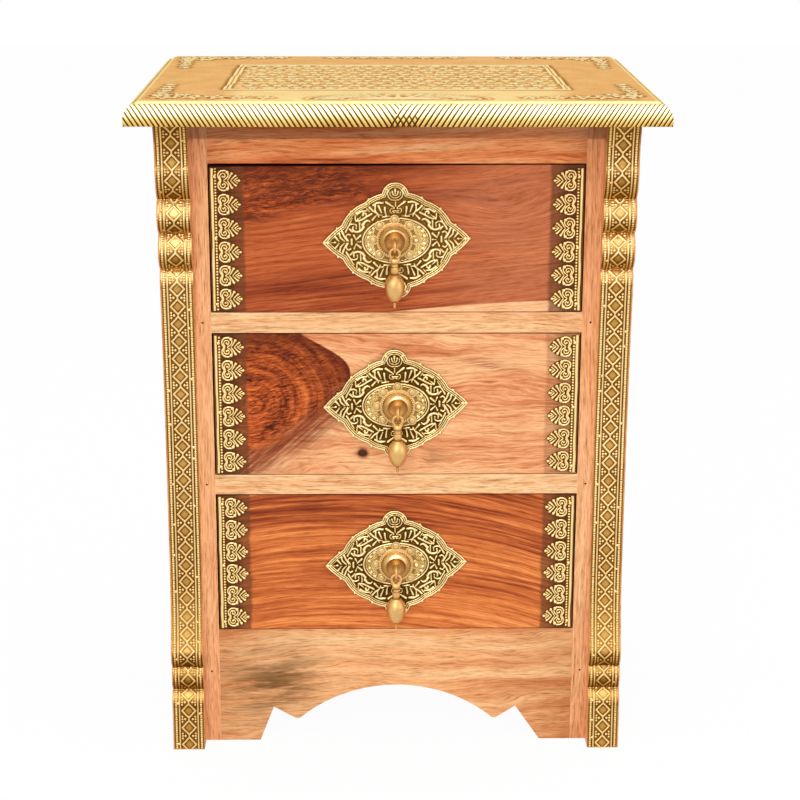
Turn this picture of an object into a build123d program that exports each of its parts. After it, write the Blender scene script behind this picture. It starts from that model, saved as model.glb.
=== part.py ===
"""Three-drawer bedside chest in sheesham wood with carved corner posts clad in embossed brass.

Lengths are in millimetres. X runs from left to right, Y from the front to the back and Z upwards.
The origin is on the floor, under the middle of the chest.
"""
from build123d import *
import math
import os

os.makedirs("parts", exist_ok=True)

# ------------------------------------------------------------------ overall
chest_width = 453.0           # across the rounded lips of the top
chest_depth = 332.0
chest_height = 610.0
front_overhang = 72.0         # lip of the top in front of the rails
side_overhang = 19.0          # lip of the top beside the posts
back_overhang = 8.0

# ------------------------------------------------------------------ top
top_thickness = 21.0
top_sheet = 0.8               # brass sheet over the top
lip_radius = 14.0             # quarter-round edge
lip_step = 1.5                # fillet line between the flat and the round

# ------------------------------------------------------------------ posts and front frame
post_width = 29.0
post_back = 34.0              # back of the front posts behind the face of the rails
back_post_depth = 29.0
post_sheet = 0.8              # brass strip on the post
strip_margin_inner = 0.5      # bare wood beside the strip, next to the stile
strip_margin_outer = 2.7      # bare wood beside the strip, at the outer edge
sheet_lift = 1.0              # the strip stops just above the floor
stile_width = 14.5
frame_thickness = 22.0        # stiles and rails, front to back
top_rail_height = 42.2
rail_height = 18.4
apron_height = 112.4
apron_thickness = 18.0
tenon_length = 9.5
tenon_thickness = 8.0
tenon_shoulder = 3.0
tenon_front = 7.0             # from the face of the rails to the front of the tenons
apron_tenon_low = 31.0        # underside of the apron's tenons above the floor
plug_radius = 0.9             # stopper over the pins that lock the tenons
plug_clearance = 0.05
plug_depth = 4.0
plug_set = 0.3                # the stopper lies just below the surface

# ------------------------------------------------------------------ apron outline
left_foot_inner = 127.5
right_foot_inner = 135.0
left_peak = 114.4
right_peak = 112.0
peak_height = 34.0
cusp_half_span = 90.5
cusp_height = 22.0
cusp_flat = 3.0
arch_height = 56.0

# ------------------------------------------------------------------ sides and back
side_rail_thickness = 16.0
side_top_rail_height = 45.0
side_bottom_height = 60.0     # underside of the bottom rails above the floor
groove_depth = 7.0
panel_thickness = 8.0
panel_inset = 10.5            # outer face of the side panels behind the outer face of the posts
back_panel_thickness = 6.0
back_panel_inset = 8.0        # back face of the back panel in front of the back of the posts
panel_clearance = 0.1

# ------------------------------------------------------------------ drawers
drawer_count = 3
drawer_names = ["upper", "middle", "lower"]
side_gap = 1.2                # beside the drawer front
bottom_gap = 0.8
top_gaps_left = [3.0, 1.1, 1.1]
top_gaps_right = [1.1, 1.1, 1.1]
front_thickness = 18.0
front_lap = 8.0               # what is left of the front where the sides lap it
drawer_side_thickness = 9.0
side_inset = 0.5              # sides behind the ends of the front
side_drop = 7.0               # top of the sides below the top of the opening
drawer_end_gap = 4.0          # between the drawers and the back rails
drawer_back_thickness = 9.0
drawer_back_inset = 5.0
dado_depth = 3.0
bottom_thickness = 4.0
bottom_rise = 8.0             # bottom panel above the lower edge of the drawer
bottom_groove = 4.5
runner_clearance = 0.3
runner_foot = 9.0             # thickness of the runner below the drawer
runner_reach = 15.0           # runner under the side of the drawer
guide_height = 40.0
kicker_clearance = 1.4        # between the upper drawer and the kickers

# ------------------------------------------------------------------ drawer trims
trim_sheet = 0.9
trim_edge = 1.2               # between the trim and the edges of the front
trim_spine = 5.8              # straight band with the ridge and the pearls
palmette_count = 6
palmette_length = 21.0
palmette_gap = 1.3            # half the space between two palmettes at their widest
palmette_waist = 0.8          # share of the half width where a palmette leaves the spine
palmette_belly = 0.19         # widest place, as a share of the length
palmette_shoulder = (0.42, 0.95)   # shares of the length and of the half width
palmette_flank = (0.76, 0.6)
palmette_neck = 0.95          # share of the length where the round tip starts
palmette_tip = 1.6

# ------------------------------------------------------------------ drop pulls
plate_shifts = [(-0.4, -1.4), (-0.8, -0.4), (-0.2, -1.2)]   # off the middle of each front, fitted by hand
pull_shifts = [(-2.2, -0.8), (0.8, -1.4), (-0.3, -1.8)]
plate_half_width = 65.0
plate_tilt = 1.6              # degrees, fitted by hand
plate_thickness = 1.6
lobe_centre = 41.2            # centre of the round lobes above and below the pull
lobe_radius = 10.4
lobe_neck_x = 11.6
lobe_neck_z = 42.0
cusp_one_x = 26.8
cusp_one_z = 34.6
cusp_two_x = 47.6
cusp_two_z = 15.4
lobe_side_bulge = 1.3         # rise of the three arcs of each quarter of the plate's edge
cusp_bulge = 3.0
tip_bulge = 0.9
petal_count = 8
petal_ring = 18.4
petal_radius = 4.2
petal_dot_radius = 2.1
petal_dot_height = 0.7
rosette_radius = 19.0
rosette_thickness = 1.8
collar_radius = 14.4
collar_height = 1.0
boss_radius = 13.0
boss_height = 7.0
boss_bulge = 1.3              # rise of the arc between the collar and the rim
boss_rim_radius = 9.6
boss_recess_radius = 8.4
boss_recess_depth = 5.0
staple_ring_radius = 5.7
staple_ring_drop = 2.4        # middle of the ring below the shank
staple_wire_radius = 1.3
staple_wire_sides = 8         # hammered wire
staple_shank_radius = 1.5
staple_hole_clearance = 0.1
staple_tail_length = 9.0
staple_tail_thickness = 1.2
ring_proud = 4.0              # middle of the staple's ring in front of the rim of the boss
eye_thickness = 2.6
eye_outer_radius = 5.5
eye_hole_radius = 3.2
eye_clearance = 0.5           # between the wire and the top of the eye's hole
tang_length = 9.0             # from the middle of the eye to the neck
tang_half_width = 2.8
drop_neck_length = 4.9
drop_neck_radius = 3.0
drop_neck_waist = 2.7
drop_bead_length = 5.0
drop_bead_radius = 3.4
drop_groove_radius = 2.8      # above and below the bead
egg_length = 21.7
egg_radius = 8.6
egg_crown = 8.2               # from the top of the egg to its widest place
egg_shoulder_radius = 6.9
egg_shoulder_fall = 1.8
egg_shoulder_bulge = 0.5
egg_base_radius = 4.3
finial_length = 5.6
finial_radius = 3.9
finial_tip_radius = 0.5

# ------------------------------------------------------------------ derived levels and planes
half_width = chest_width / 2
front_edge = -chest_depth / 2
back_edge = chest_depth / 2
face = front_edge + front_overhang                 # plane of the stiles, rails and drawer fronts
carcass_back = back_edge - back_overhang
slab_bottom = chest_height - top_thickness
post_outer = half_width - side_overhang
post_inner = post_outer - post_width
opening_half = post_inner - stile_width
front_post_back = face + post_back
back_post_front = carcass_back - back_post_depth
frame_back = face + frame_thickness
back_groove_y = carcass_back - back_panel_inset    # back face of the back panel

free_height = slab_bottom - apron_height - top_rail_height - (drawer_count - 1) * rail_height
opening_height = free_height / drawer_count
opening_bottoms = [apron_height + (drawer_count - 1 - row) * (opening_height + rail_height)
                   for row in range(drawer_count)]
opening_tops = [bottom + opening_height for bottom in opening_bottoms]
opening_middles = [bottom + opening_height / 2 for bottom in opening_bottoms]

side_names = {-1: "left", 1: "right"}


def save(piece, name):
    """Label a finished piece and write its STEP file."""
    piece.part.label = name
    export_step(piece.part, f"parts/{name}.step")


def front_plane(y, z=0.0, x=0.0):
    """Plane that faces the front, with its X along the chest's X and its Y upwards."""
    return Plane(origin=(x, y, z), x_dir=(1, 0, 0), z_dir=(0, -1, 0))


def block(x_range, y_range, z_range, mode=Mode.ADD):
    """Rectangular piece of wood between two limits along each axis."""
    sizes = [max(limits) - min(limits) for limits in (x_range, y_range, z_range)]
    middle = [sum(limits) / 2 for limits in (x_range, y_range, z_range)]
    with Locations(tuple(middle)):
        Box(*sizes, mode=mode)


# ================================================================== top board and its brass sheet
def moulded_slab(inset):
    """Slab with a raised flat and a quarter-round lip on the front and both ends."""
    half_x = half_width - inset
    front_y = front_edge + inset
    flat_half_x = half_width - lip_radius - inset
    flat_front = front_edge + lip_radius + inset
    round_top = chest_height - lip_step - inset
    with BuildPart() as slab:
        block((-half_x, half_x), (front_y, back_edge), (slab_bottom, round_top))
        lip_edges = slab.edges().group_by(Axis.Z)[-1].sort_by(Axis.Y)[:-1]
        fillet(lip_edges, radius=lip_radius - inset)
        block((-flat_half_x, flat_half_x), (flat_front, back_edge), (round_top, chest_height - inset))
    return slab.part


with BuildPart() as top_board:
    add(moulded_slab(top_sheet))
save(top_board, "top_board")

with BuildPart() as top_brass_sheet:
    add(moulded_slab(0.0))
    add(moulded_slab(top_sheet), mode=Mode.SUBTRACT)
save(top_brass_sheet, "top_brass_sheet")

# ================================================================== carved front posts
# Each landmark is (distance in front of the face, height). The upper ones are counted down from the
# top board and the lower ones up from the floor, so the long plain stretch takes up any change.
crown_flare = 28.0
crown_cove = (20.6, 19.0)
crown_base = (18.2, 42.0)
crown_chin = (16.2, 61.5)
crown_notch = (8.0, 71.8)
bead_one_brow = (13.0, 79.0)
bead_one = (15.4, 88.5)
bead_one_chin = (11.2, 98.0)
bead_one_notch = (3.4, 102.2)
bead_two_brow = (9.4, 109.5)
bead_two = (12.2, 119.0)
bead_two_chin = (8.2, 130.0)
bead_two_notch = (0.6, 135.0)
shoulder_bulge = (4.9, 141.5)
shoulder = (5.8, 151.5)
waist_high = (2.6, 200.0)
waist_low = (1.6, 195.0)
flare_start = (5.0, 140.0)
ankle = (16.2, 96.5)
ankle_chin = (15.4, 86.8)
ankle_notch = (10.4, 79.9)
bead_three = (14.8, 68.0)
bead_three_notch = (9.6, 57.3)
foot_shoulder = (15.4, 51.8)
foot_top = (17.4, 42.0)
foot_toe = 19.5


def post_front(proud):
    """Carved front line of a post, from the top board to the floor, moved forward by `proud`."""
    def high(mark):
        return (face - mark[0] - proud, slab_bottom - mark[1])

    def low(mark):
        return (face - mark[0] - proud, mark[1])

    ThreePointArc(high((crown_flare, 0.0)), high(crown_cove), high(crown_base))
    ThreePointArc(high(crown_base), high(crown_chin), high(crown_notch))
    ThreePointArc(high(crown_notch), high(bead_one_brow), high(bead_one))
    ThreePointArc(high(bead_one), high(bead_one_chin), high(bead_one_notch))
    ThreePointArc(high(bead_one_notch), high(bead_two_brow), high(bead_two))
    ThreePointArc(high(bead_two), high(bead_two_chin), high(bead_two_notch))
    ThreePointArc(high(bead_two_notch), high(shoulder_bulge), high(shoulder))
    Spline(high(shoulder), high(waist_high), low(waist_low), low(flare_start), low(ankle))
    ThreePointArc(low(ankle), low(ankle_chin), low(ankle_notch))
    ThreePointArc(low(ankle_notch), low(bead_three), low(bead_three_notch))
    ThreePointArc(low(bead_three_notch), low(foot_shoulder), low(foot_top))
    Line(low(foot_top), low((foot_toe, 0.0)))
    return high((crown_flare, 0.0)), low((foot_toe, 0.0))


panel_middle = post_outer - panel_inset - panel_thickness / 2
groove_range = (panel_middle - panel_thickness / 2, panel_middle + panel_thickness / 2)
rail_range = (panel_middle - side_rail_thickness / 2, panel_middle + side_rail_thickness / 2)

for side, side_name in side_names.items():
    groove_x = [side * value for value in groove_range]
    with BuildPart() as front_post:
        with BuildSketch(Plane.YZ.offset(side * post_inner)):
            with BuildLine():
                crown, toe = post_front(0.0)
                Polyline(toe, (front_post_back, 0), (front_post_back, slab_bottom), crown)
            make_face()
        extrude(amount=side * post_width)
        block(groove_x, (front_post_back - groove_depth, front_post_back),
              (side_bottom_height, slab_bottom), mode=Mode.SUBTRACT)
    save(front_post, f"front_post_{side_name}")

    with BuildPart() as post_brass:
        with BuildSketch(Plane.YZ.offset(side * (post_inner + strip_margin_inner))):
            with BuildLine():
                inner_crown, inner_toe = post_front(0.0)
                outer_crown, outer_toe = post_front(post_sheet)
                Line(inner_crown, outer_crown)
                Line(inner_toe, outer_toe)
            make_face()
            with Locations((face, sheet_lift / 2)):
                Rectangle(2 * front_overhang, sheet_lift, mode=Mode.SUBTRACT)
        extrude(amount=side * (post_width - strip_margin_inner - strip_margin_outer))
    save(post_brass, f"post_brass_{side_name}")

    with BuildPart() as back_post:
        block((side * post_inner, side * post_outer), (back_post_front, carcass_back), (0, slab_bottom))
        block(groove_x, (back_post_front, back_post_front + groove_depth),
              (side_bottom_height, slab_bottom), mode=Mode.SUBTRACT)
        block((side * post_inner, side * (post_inner + groove_depth)),
              (back_groove_y - back_panel_thickness, back_groove_y),
              (side_bottom_height, slab_bottom), mode=Mode.SUBTRACT)
    save(back_post, f"back_post_{side_name}")

# ================================================================== front frame
tenon_y = (face + tenon_front, face + tenon_front + tenon_thickness)
rail_levels = {
    "top_rail": (slab_bottom - top_rail_height, slab_bottom),
    "upper_drawer_rail": (opening_tops[1], opening_bottoms[0]),
    "lower_drawer_rail": (opening_tops[2], opening_bottoms[1]),
    "apron": (0.0, apron_height),
}
tenon_levels = {
    name: (low + tenon_shoulder, high - tenon_shoulder) for name, (low, high) in rail_levels.items()
}
tenon_levels["apron"] = (apron_tenon_low, apron_height - tenon_shoulder)
plug_x = opening_half + tenon_length - 2 * plug_radius
plug_levels = [sum(tenon_levels[name]) / 2 for name in ("upper_drawer_rail", "lower_drawer_rail", "apron")]
plug_places = [(side * plug_x, level) for side in side_names for level in plug_levels]


def plug_circles(radius, y):
    """Sketch of the stopped pin holes in both stiles, seen from the front."""
    with BuildSketch(front_plane(y)) as circles:
        with Locations(*plug_places):
            Circle(radius)
    return circles.sketch


for side, side_name in side_names.items():
    with BuildPart() as stile:
        block((side * opening_half, side * post_inner), (face, frame_back), (0, slab_bottom))
        for low, high in tenon_levels.values():
            block((side * opening_half, side * (opening_half + tenon_length)), tenon_y, (low, high),
                  mode=Mode.SUBTRACT)
        extrude(plug_circles(plug_radius + plug_clearance, face), amount=-plug_depth, mode=Mode.SUBTRACT)
    save(stile, f"stile_{side_name}")

rail_reach = opening_half + tenon_length
for name, (low, high) in rail_levels.items():
    rail_back = face + apron_thickness if name == "apron" else frame_back
    with BuildPart() as rail:
        block((-opening_half, opening_half), (face, rail_back), (low, high))
        block((-rail_reach, rail_reach), tenon_y, tenon_levels[name])
        if name == "apron":
            with BuildSketch(front_plane(face)):
                with BuildLine():
                    cut_start = (-left_foot_inner, 0)
                    cut_end = (right_foot_inner, 0)
                    left_cusp = (-cusp_half_span, cusp_height)
                    right_cusp = (cusp_half_span, cusp_height)
                    Polyline(cut_start, (-left_peak, peak_height),
                             (-cusp_half_span - cusp_flat, cusp_height), left_cusp)
                    ThreePointArc(left_cusp, (0, arch_height), right_cusp)
                    Polyline(right_cusp, (cusp_half_span + cusp_flat, cusp_height),
                             (right_peak, peak_height), cut_end, cut_start)
                make_face()
            extrude(amount=-apron_thickness, mode=Mode.SUBTRACT)
    save(rail, name)

with BuildPart() as pin_plugs:
    extrude(plug_circles(plug_radius, face + plug_set), amount=plug_set - plug_depth)
save(pin_plugs, "pin_plugs")

# ================================================================== sides and back
side_tenon = groove_depth
side_span = (front_post_back, back_post_front)
side_tenon_span = (front_post_back - side_tenon, back_post_front + side_tenon)
side_top_level = (slab_bottom - side_top_rail_height, slab_bottom)
side_bottom_level = (side_bottom_height, apron_height)
panel_level = (side_bottom_level[1] - groove_depth, side_top_level[0] + groove_depth)
inner_y = (front_post_back - groove_depth + panel_clearance, back_post_front + groove_depth - panel_clearance)

for side, side_name in side_names.items():
    groove_x = [side * value for value in groove_range]
    rail_x = [side * value for value in rail_range]
    for rail_name, (low, high), groove in (
        ("top", side_top_level, (side_top_level[0], side_top_level[0] + groove_depth)),
        ("bottom", side_bottom_level, (side_bottom_level[1] - groove_depth, side_bottom_level[1])),
    ):
        with BuildPart() as side_rail:
            block(rail_x, side_span, (low, high))
            block(groove_x, side_tenon_span, (low, high))
            block(groove_x, side_tenon_span, groove, mode=Mode.SUBTRACT)
        save(side_rail, f"side_{rail_name}_rail_{side_name}")

    with BuildPart() as side_panel:
        block(groove_x, inner_y, panel_level)
    save(side_panel, f"side_panel_{side_name}")

back_groove = (back_groove_y - back_panel_thickness, back_groove_y)
back_rail_y = (back_groove_y - back_panel_thickness - back_panel_inset, carcass_back)
back_reach = post_inner + groove_depth - panel_clearance
for rail_name, (low, high), groove in (
    ("top", side_top_level, (side_top_level[0], side_top_level[0] + groove_depth)),
    ("bottom", side_bottom_level, (side_bottom_level[1] - groove_depth, side_bottom_level[1])),
):
    with BuildPart() as back_rail:
        block((-post_inner, post_inner), back_rail_y, (low, high))
        block((-post_inner - groove_depth, post_inner + groove_depth), back_groove, (low, high))
        block((-post_inner - groove_depth, post_inner + groove_depth), back_groove, groove,
              mode=Mode.SUBTRACT)
    save(back_rail, f"back_{rail_name}_rail")

with BuildPart() as back_panel:
    block((-back_reach, back_reach), back_groove, panel_level)
save(back_panel, "back_panel")

# ================================================================== runners and kickers
runner_y = (frame_back, back_rail_y[0])
for side, side_name in side_names.items():
    with BuildPart() as runners:
        for bottom in opening_bottoms:
            runner_top = bottom + bottom_gap - runner_clearance
            block((side * opening_half, side * post_inner), runner_y,
                  (runner_top - runner_foot, bottom + guide_height))
            block((side * (opening_half - runner_reach), side * opening_half), runner_y,
                  (runner_top - runner_foot, runner_top))
    save(runners, f"drawer_runners_{side_name}")

with BuildPart() as drawer_kickers:
    for side in side_names:
        block((side * (opening_half - runner_reach), side * post_inner), runner_y,
              (opening_tops[0] - side_drop + kicker_clearance, slab_bottom))
save(drawer_kickers, "drawer_kickers")

# ================================================================== drawers
front_half = opening_half - side_gap
drawer_outer = front_half - side_inset
drawer_inner = drawer_outer - drawer_side_thickness
front_back = face + front_thickness
lap_y = face + front_lap
drawer_end = back_rail_y[0] - drawer_end_gap
drawer_back_y = (drawer_end - drawer_back_inset - drawer_back_thickness, drawer_end - drawer_back_inset)
trim_width = trim_spine + palmette_length

rosette_back = face - plate_thickness
rosette_front = rosette_back - rosette_thickness
boss_front = rosette_front - boss_height
ring_y = boss_front - ring_proud
wire_inset = staple_ring_radius - staple_wire_radius   # from the middle of the ring to its inner edge


def palmette_outline(side, left_edge, right_edge, low, high):
    """Brass trim with a straight spine at the drawer's end and a row of palmettes pointing inwards."""
    outer = left_edge if side < 0 else right_edge
    inward = -side
    spine_x = outer + inward * trim_spine
    tip_x = outer + inward * trim_width
    pitch = (high - low) / palmette_count
    widest = pitch / 2 - palmette_gap
    waist = widest * palmette_waist
    with BuildSketch(front_plane(face)) as outline:
        with Locations(((outer + spine_x) / 2, (low + high) / 2)):
            Rectangle(trim_spine, high - low)
        for index in range(palmette_count):
            middle = low + pitch * (index + 0.5)

            def at(along, half):
                return (spine_x + inward * along * palmette_length, middle + half)

            with BuildLine():
                for way in (-1, 1):
                    base = at(0, way * waist)
                    shoulder_point = at(palmette_shoulder[0], way * widest * palmette_shoulder[1])
                    flank_point = at(palmette_flank[0], way * widest * palmette_flank[1])
                    neck = at(palmette_neck, way * palmette_tip)
                    Line(at(0, 0), base)
                    ThreePointArc(base, at(palmette_belly, way * widest), shoulder_point)
                    ThreePointArc(shoulder_point, flank_point, neck)
                ThreePointArc(at(palmette_neck, palmette_tip), (tip_x, middle),
                              at(palmette_neck, -palmette_tip))
            make_face()
    return outline.sketch


def plate_outline():
    """Cusped lozenge with pointed ends and round lobes above and below, drawn about the pull."""
    for x_way in (-1, 1):
        for z_way in (-1, 1):
            def at(x, z):
                return (x_way * x, z_way * z)

            neck = at(lobe_neck_x, lobe_neck_z)
            one = at(cusp_one_x, cusp_one_z)
            two = at(cusp_two_x, cusp_two_z)
            tip = at(plate_half_width, 0)
            SagittaArc(neck, one, lobe_side_bulge * x_way * z_way)
            SagittaArc(one, two, cusp_bulge * x_way * z_way)
            SagittaArc(two, tip, tip_bulge * x_way * z_way)


for row, drawer_name in enumerate(drawer_names):
    low = opening_bottoms[row] + bottom_gap
    plate_x, plate_lift = plate_shifts[row]
    pull_x, pull_lift = pull_shifts[row]
    plate_z = opening_middles[row] + plate_lift
    pull_z = opening_middles[row] + pull_lift
    side_top = opening_tops[row] - side_drop
    top_left = opening_tops[row] - top_gaps_left[row]
    top_right = opening_tops[row] - top_gaps_right[row]
    panel_low = low + bottom_rise
    panel_high = panel_low + bottom_thickness

    # ---- wooden box
    with BuildPart() as drawer_front:
        with BuildSketch(front_plane(face)):
            with BuildLine():
                Polyline((-front_half, low), (front_half, low), (front_half, top_right),
                         (-front_half, top_left), close=True)
            make_face()
        extrude(amount=-front_thickness)
        for side in side_names:
            block((side * drawer_inner, side * front_half), (lap_y, front_back), (low, opening_tops[row]),
                  mode=Mode.SUBTRACT)
        block((-drawer_inner, drawer_inner), (front_back - bottom_groove, front_back),
              (panel_low, panel_high), mode=Mode.SUBTRACT)
        with BuildSketch(front_plane(face, pull_z, pull_x)):
            Circle(staple_shank_radius + staple_hole_clearance)
        extrude(amount=-front_thickness, mode=Mode.SUBTRACT)
    save(drawer_front, f"{drawer_name}_drawer_front")

    for side, side_name in side_names.items():
        with BuildPart() as drawer_side:
            block((side * drawer_inner, side * drawer_outer), (lap_y, drawer_end), (low, side_top))
            block((side * drawer_inner, side * (drawer_inner + bottom_groove)), (lap_y, drawer_end),
                  (panel_low, panel_high), mode=Mode.SUBTRACT)
            block((side * drawer_inner, side * (drawer_inner + dado_depth)), drawer_back_y,
                  (panel_high, side_top), mode=Mode.SUBTRACT)
        save(drawer_side, f"{drawer_name}_drawer_side_{side_name}")

    with BuildPart() as drawer_back:
        block((-drawer_inner - dado_depth, drawer_inner + dado_depth), drawer_back_y, (panel_high, side_top))
    save(drawer_back, f"{drawer_name}_drawer_back")

    with BuildPart() as drawer_bottom:
        block((-drawer_inner, drawer_inner), (front_back - bottom_groove, drawer_end),
              (panel_low, panel_high))
        block((-drawer_inner - bottom_groove, drawer_inner + bottom_groove), (front_back, drawer_end),
              (panel_low, panel_high))
    save(drawer_bottom, f"{drawer_name}_drawer_bottom")

    # ---- brass trims at both ends of the front
    for side, side_name in side_names.items():
        trim_top = min(top_left, top_right) - trim_edge
        with BuildPart() as trim:
            extrude(palmette_outline(side, -front_half + trim_edge, front_half - trim_edge,
                                     low + trim_edge, trim_top), amount=trim_sheet)
        save(trim, f"{drawer_name}_drawer_trim_{side_name}")

    # ---- cusped backplate
    tilt = math.radians(plate_tilt)
    plate_plane = Plane(origin=(plate_x, face, plate_z), x_dir=(math.cos(tilt), 0, math.sin(tilt)),
                        z_dir=(0, -1, 0))
    with BuildPart() as plate:
        with BuildSketch(plate_plane):
            with BuildLine():
                plate_outline()
                for z_way in (-1, 1):
                    ThreePointArc((-lobe_neck_x, z_way * lobe_neck_z),
                                  (0, z_way * (lobe_centre + lobe_radius)),
                                  (lobe_neck_x, z_way * lobe_neck_z))
            make_face()
        extrude(amount=plate_thickness)
        with BuildSketch(front_plane(face, pull_z, pull_x)):
            Circle(staple_shank_radius + staple_hole_clearance)
        extrude(amount=plate_thickness, mode=Mode.SUBTRACT)
    save(plate, f"{drawer_name}_pull_plate")

    # ---- cast rosette with its domed boss
    with BuildPart() as rosette:
        with BuildSketch(front_plane(rosette_back, pull_z, pull_x)):
            Circle(rosette_radius)
            with PolarLocations(petal_ring, petal_count):
                Circle(petal_radius)
        extrude(amount=rosette_thickness)
        with BuildSketch(front_plane(rosette_front, pull_z, pull_x)):
            with PolarLocations(petal_ring, petal_count):
                Circle(petal_dot_radius)
        extrude(amount=petal_dot_height)
        with BuildSketch(Plane.YZ.offset(pull_x)):
            with BuildLine():
                foot_y = rosette_front - collar_height
                recess_y = boss_front + boss_recess_depth
                boss_foot = (foot_y, pull_z + boss_radius)
                boss_rim = (boss_front, pull_z + boss_rim_radius)
                Polyline((recess_y, pull_z), (rosette_front, pull_z), (rosette_front, pull_z + collar_radius),
                         (foot_y, pull_z + collar_radius), boss_foot)
                SagittaArc(boss_rim, boss_foot, boss_bulge)
                Polyline(boss_rim, (boss_front, pull_z + boss_recess_radius),
                         (recess_y, pull_z + boss_recess_radius), (recess_y, pull_z))
            make_face()
        revolve(axis=Axis((pull_x, 0, pull_z), (0, 1, 0)))
        with BuildSketch(front_plane(rosette_back, pull_z, pull_x)):
            Circle(staple_shank_radius + staple_hole_clearance)
        extrude(amount=rosette_thickness + boss_height, mode=Mode.SUBTRACT)
    save(rosette, f"{drawer_name}_pull_rosette")

    # ---- staple: a ring in front, a shank through the front and two tails clinched behind it
    ring_z = pull_z - staple_ring_drop
    shank_start = ring_y + math.sqrt(staple_ring_radius**2 - staple_ring_drop**2)
    tail_y = (front_back, front_back + staple_tail_thickness)
    with BuildPart() as staple:
        with BuildSketch(front_plane(ring_y, ring_z, pull_x)):
            with Locations((0, -staple_ring_radius)):
                RegularPolygon(staple_wire_radius, staple_wire_sides)
        revolve(axis=Axis((pull_x, ring_y, ring_z), (1, 0, 0)))
        with BuildSketch(front_plane(shank_start, pull_z, pull_x)):
            Circle(staple_shank_radius)
        extrude(amount=shank_start - tail_y[1])
        block((pull_x - staple_tail_length, pull_x + staple_tail_length), tail_y,
              (pull_z - staple_shank_radius, pull_z + staple_shank_radius))
    save(staple, f"{drawer_name}_pull_staple")

    # ---- hanging drop: the top of the eye's hole rides on the lowest part of the ring
    eye_z = ring_z - wire_inset + eye_clearance - eye_hole_radius
    neck_top = eye_z - tang_length
    bead_top = neck_top - drop_neck_length
    egg_top = bead_top - drop_bead_length
    widest_z = egg_top - egg_crown
    egg_bottom = egg_top - egg_length
    tip_z = egg_bottom - finial_length
    with BuildPart() as drop:
        with BuildSketch(front_plane(ring_y + eye_thickness / 2, 0, pull_x)):
            with BuildSketch(mode=Mode.PRIVATE) as tang:
                with Locations((0, eye_z)):
                    Circle(eye_outer_radius)
                with Locations((0, neck_top)):
                    Rectangle(2 * tang_half_width, eye_thickness)
                make_hull()
            add(tang.sketch)
            with Locations((0, eye_z)):
                Circle(eye_hole_radius, mode=Mode.SUBTRACT)
        extrude(amount=eye_thickness)
        with BuildSketch(front_plane(ring_y, 0, pull_x)):
            with BuildLine():
                widest = (egg_radius, widest_z)
                shoulder_rim = (egg_shoulder_radius, egg_top - egg_shoulder_fall)
                Line((0, neck_top), (drop_neck_radius, neck_top))
                ThreePointArc((drop_neck_radius, neck_top), (drop_neck_waist, (neck_top + bead_top) / 2),
                              (drop_groove_radius, bead_top))
                ThreePointArc((drop_groove_radius, bead_top), (drop_bead_radius, (bead_top + egg_top) / 2),
                              (drop_groove_radius, egg_top))
                SagittaArc((drop_groove_radius, egg_top), shoulder_rim, egg_shoulder_bulge)
                TangentArc(widest, shoulder_rim, tangent=(0, 1))
                TangentArc(widest, (egg_base_radius, egg_bottom), tangent=(0, -1))
                Polyline((egg_base_radius, egg_bottom), (finial_radius, egg_bottom),
                         (finial_tip_radius, tip_z), (0, tip_z), (0, neck_top))
            make_face()
        revolve(axis=Axis((pull_x, ring_y, 0), (0, 0, 1)))
    save(drop, f"{drawer_name}_pull_drop")
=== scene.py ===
"""Looks of a three-drawer bedside chest: embossed brass, cast brass pulls and figured sheesham wood.

Ornament is laid out in millimetres on flat grids, which are then bent onto the chest. The finished pieces are
in metres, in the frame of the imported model: X to the right, Y to the back, Z upwards.
"""
import math

import bpy
import numpy as np
from bpy.props import FloatProperty, FloatVectorProperty, IntProperty, PointerProperty
from mathutils import Matrix, Vector
from mathutils.bvhtree import BVHTree


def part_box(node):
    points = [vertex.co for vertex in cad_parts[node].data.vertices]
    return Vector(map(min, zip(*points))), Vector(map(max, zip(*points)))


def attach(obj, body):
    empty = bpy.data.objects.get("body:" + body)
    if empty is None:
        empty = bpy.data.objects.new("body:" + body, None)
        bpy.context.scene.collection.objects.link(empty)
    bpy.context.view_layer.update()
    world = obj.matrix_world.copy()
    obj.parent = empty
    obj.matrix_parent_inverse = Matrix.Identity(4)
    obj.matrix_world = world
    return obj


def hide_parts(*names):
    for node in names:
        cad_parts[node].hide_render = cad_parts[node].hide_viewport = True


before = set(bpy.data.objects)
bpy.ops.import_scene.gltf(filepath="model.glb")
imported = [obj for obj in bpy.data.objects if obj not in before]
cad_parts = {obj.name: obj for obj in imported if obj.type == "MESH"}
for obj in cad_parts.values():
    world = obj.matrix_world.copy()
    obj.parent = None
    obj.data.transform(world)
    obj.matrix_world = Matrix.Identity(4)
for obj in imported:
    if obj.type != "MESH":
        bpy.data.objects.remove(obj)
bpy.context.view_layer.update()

bl_info = {
    "name": "Brass-clad chest looks",
    "version": (1, 0, 0),
    "blender": (4, 5, 0),
    "location": "View3D > Sidebar > Chest",
    "description": "Embossed brass, cast pulls and figured wood for a packed three-drawer chest",
    "category": "Object",
}

MM = 0.001
DRAWERS = ("upper", "middle", "lower")
SIDES = {"left": -1, "right": 1}


def paint(red, green, blue):
    """Scene-linear colour from the 0 to 255 values of a paint chart."""
    return tuple((part / 255 / 12.92 if part < 11 else ((part / 255 + 0.055) / 1.055) ** 2.4)
                 for part in (red, green, blue))


def colour_property(name, description, red, green, blue):
    return FloatVectorProperty(name=name, description=description, subtype="COLOR", size=3, min=0, max=1,
                               default=paint(red, green, blue))


def length_property(name, description, value):
    return FloatProperty(name=name, description=description, default=value * MM, min=0, unit="LENGTH")


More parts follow.
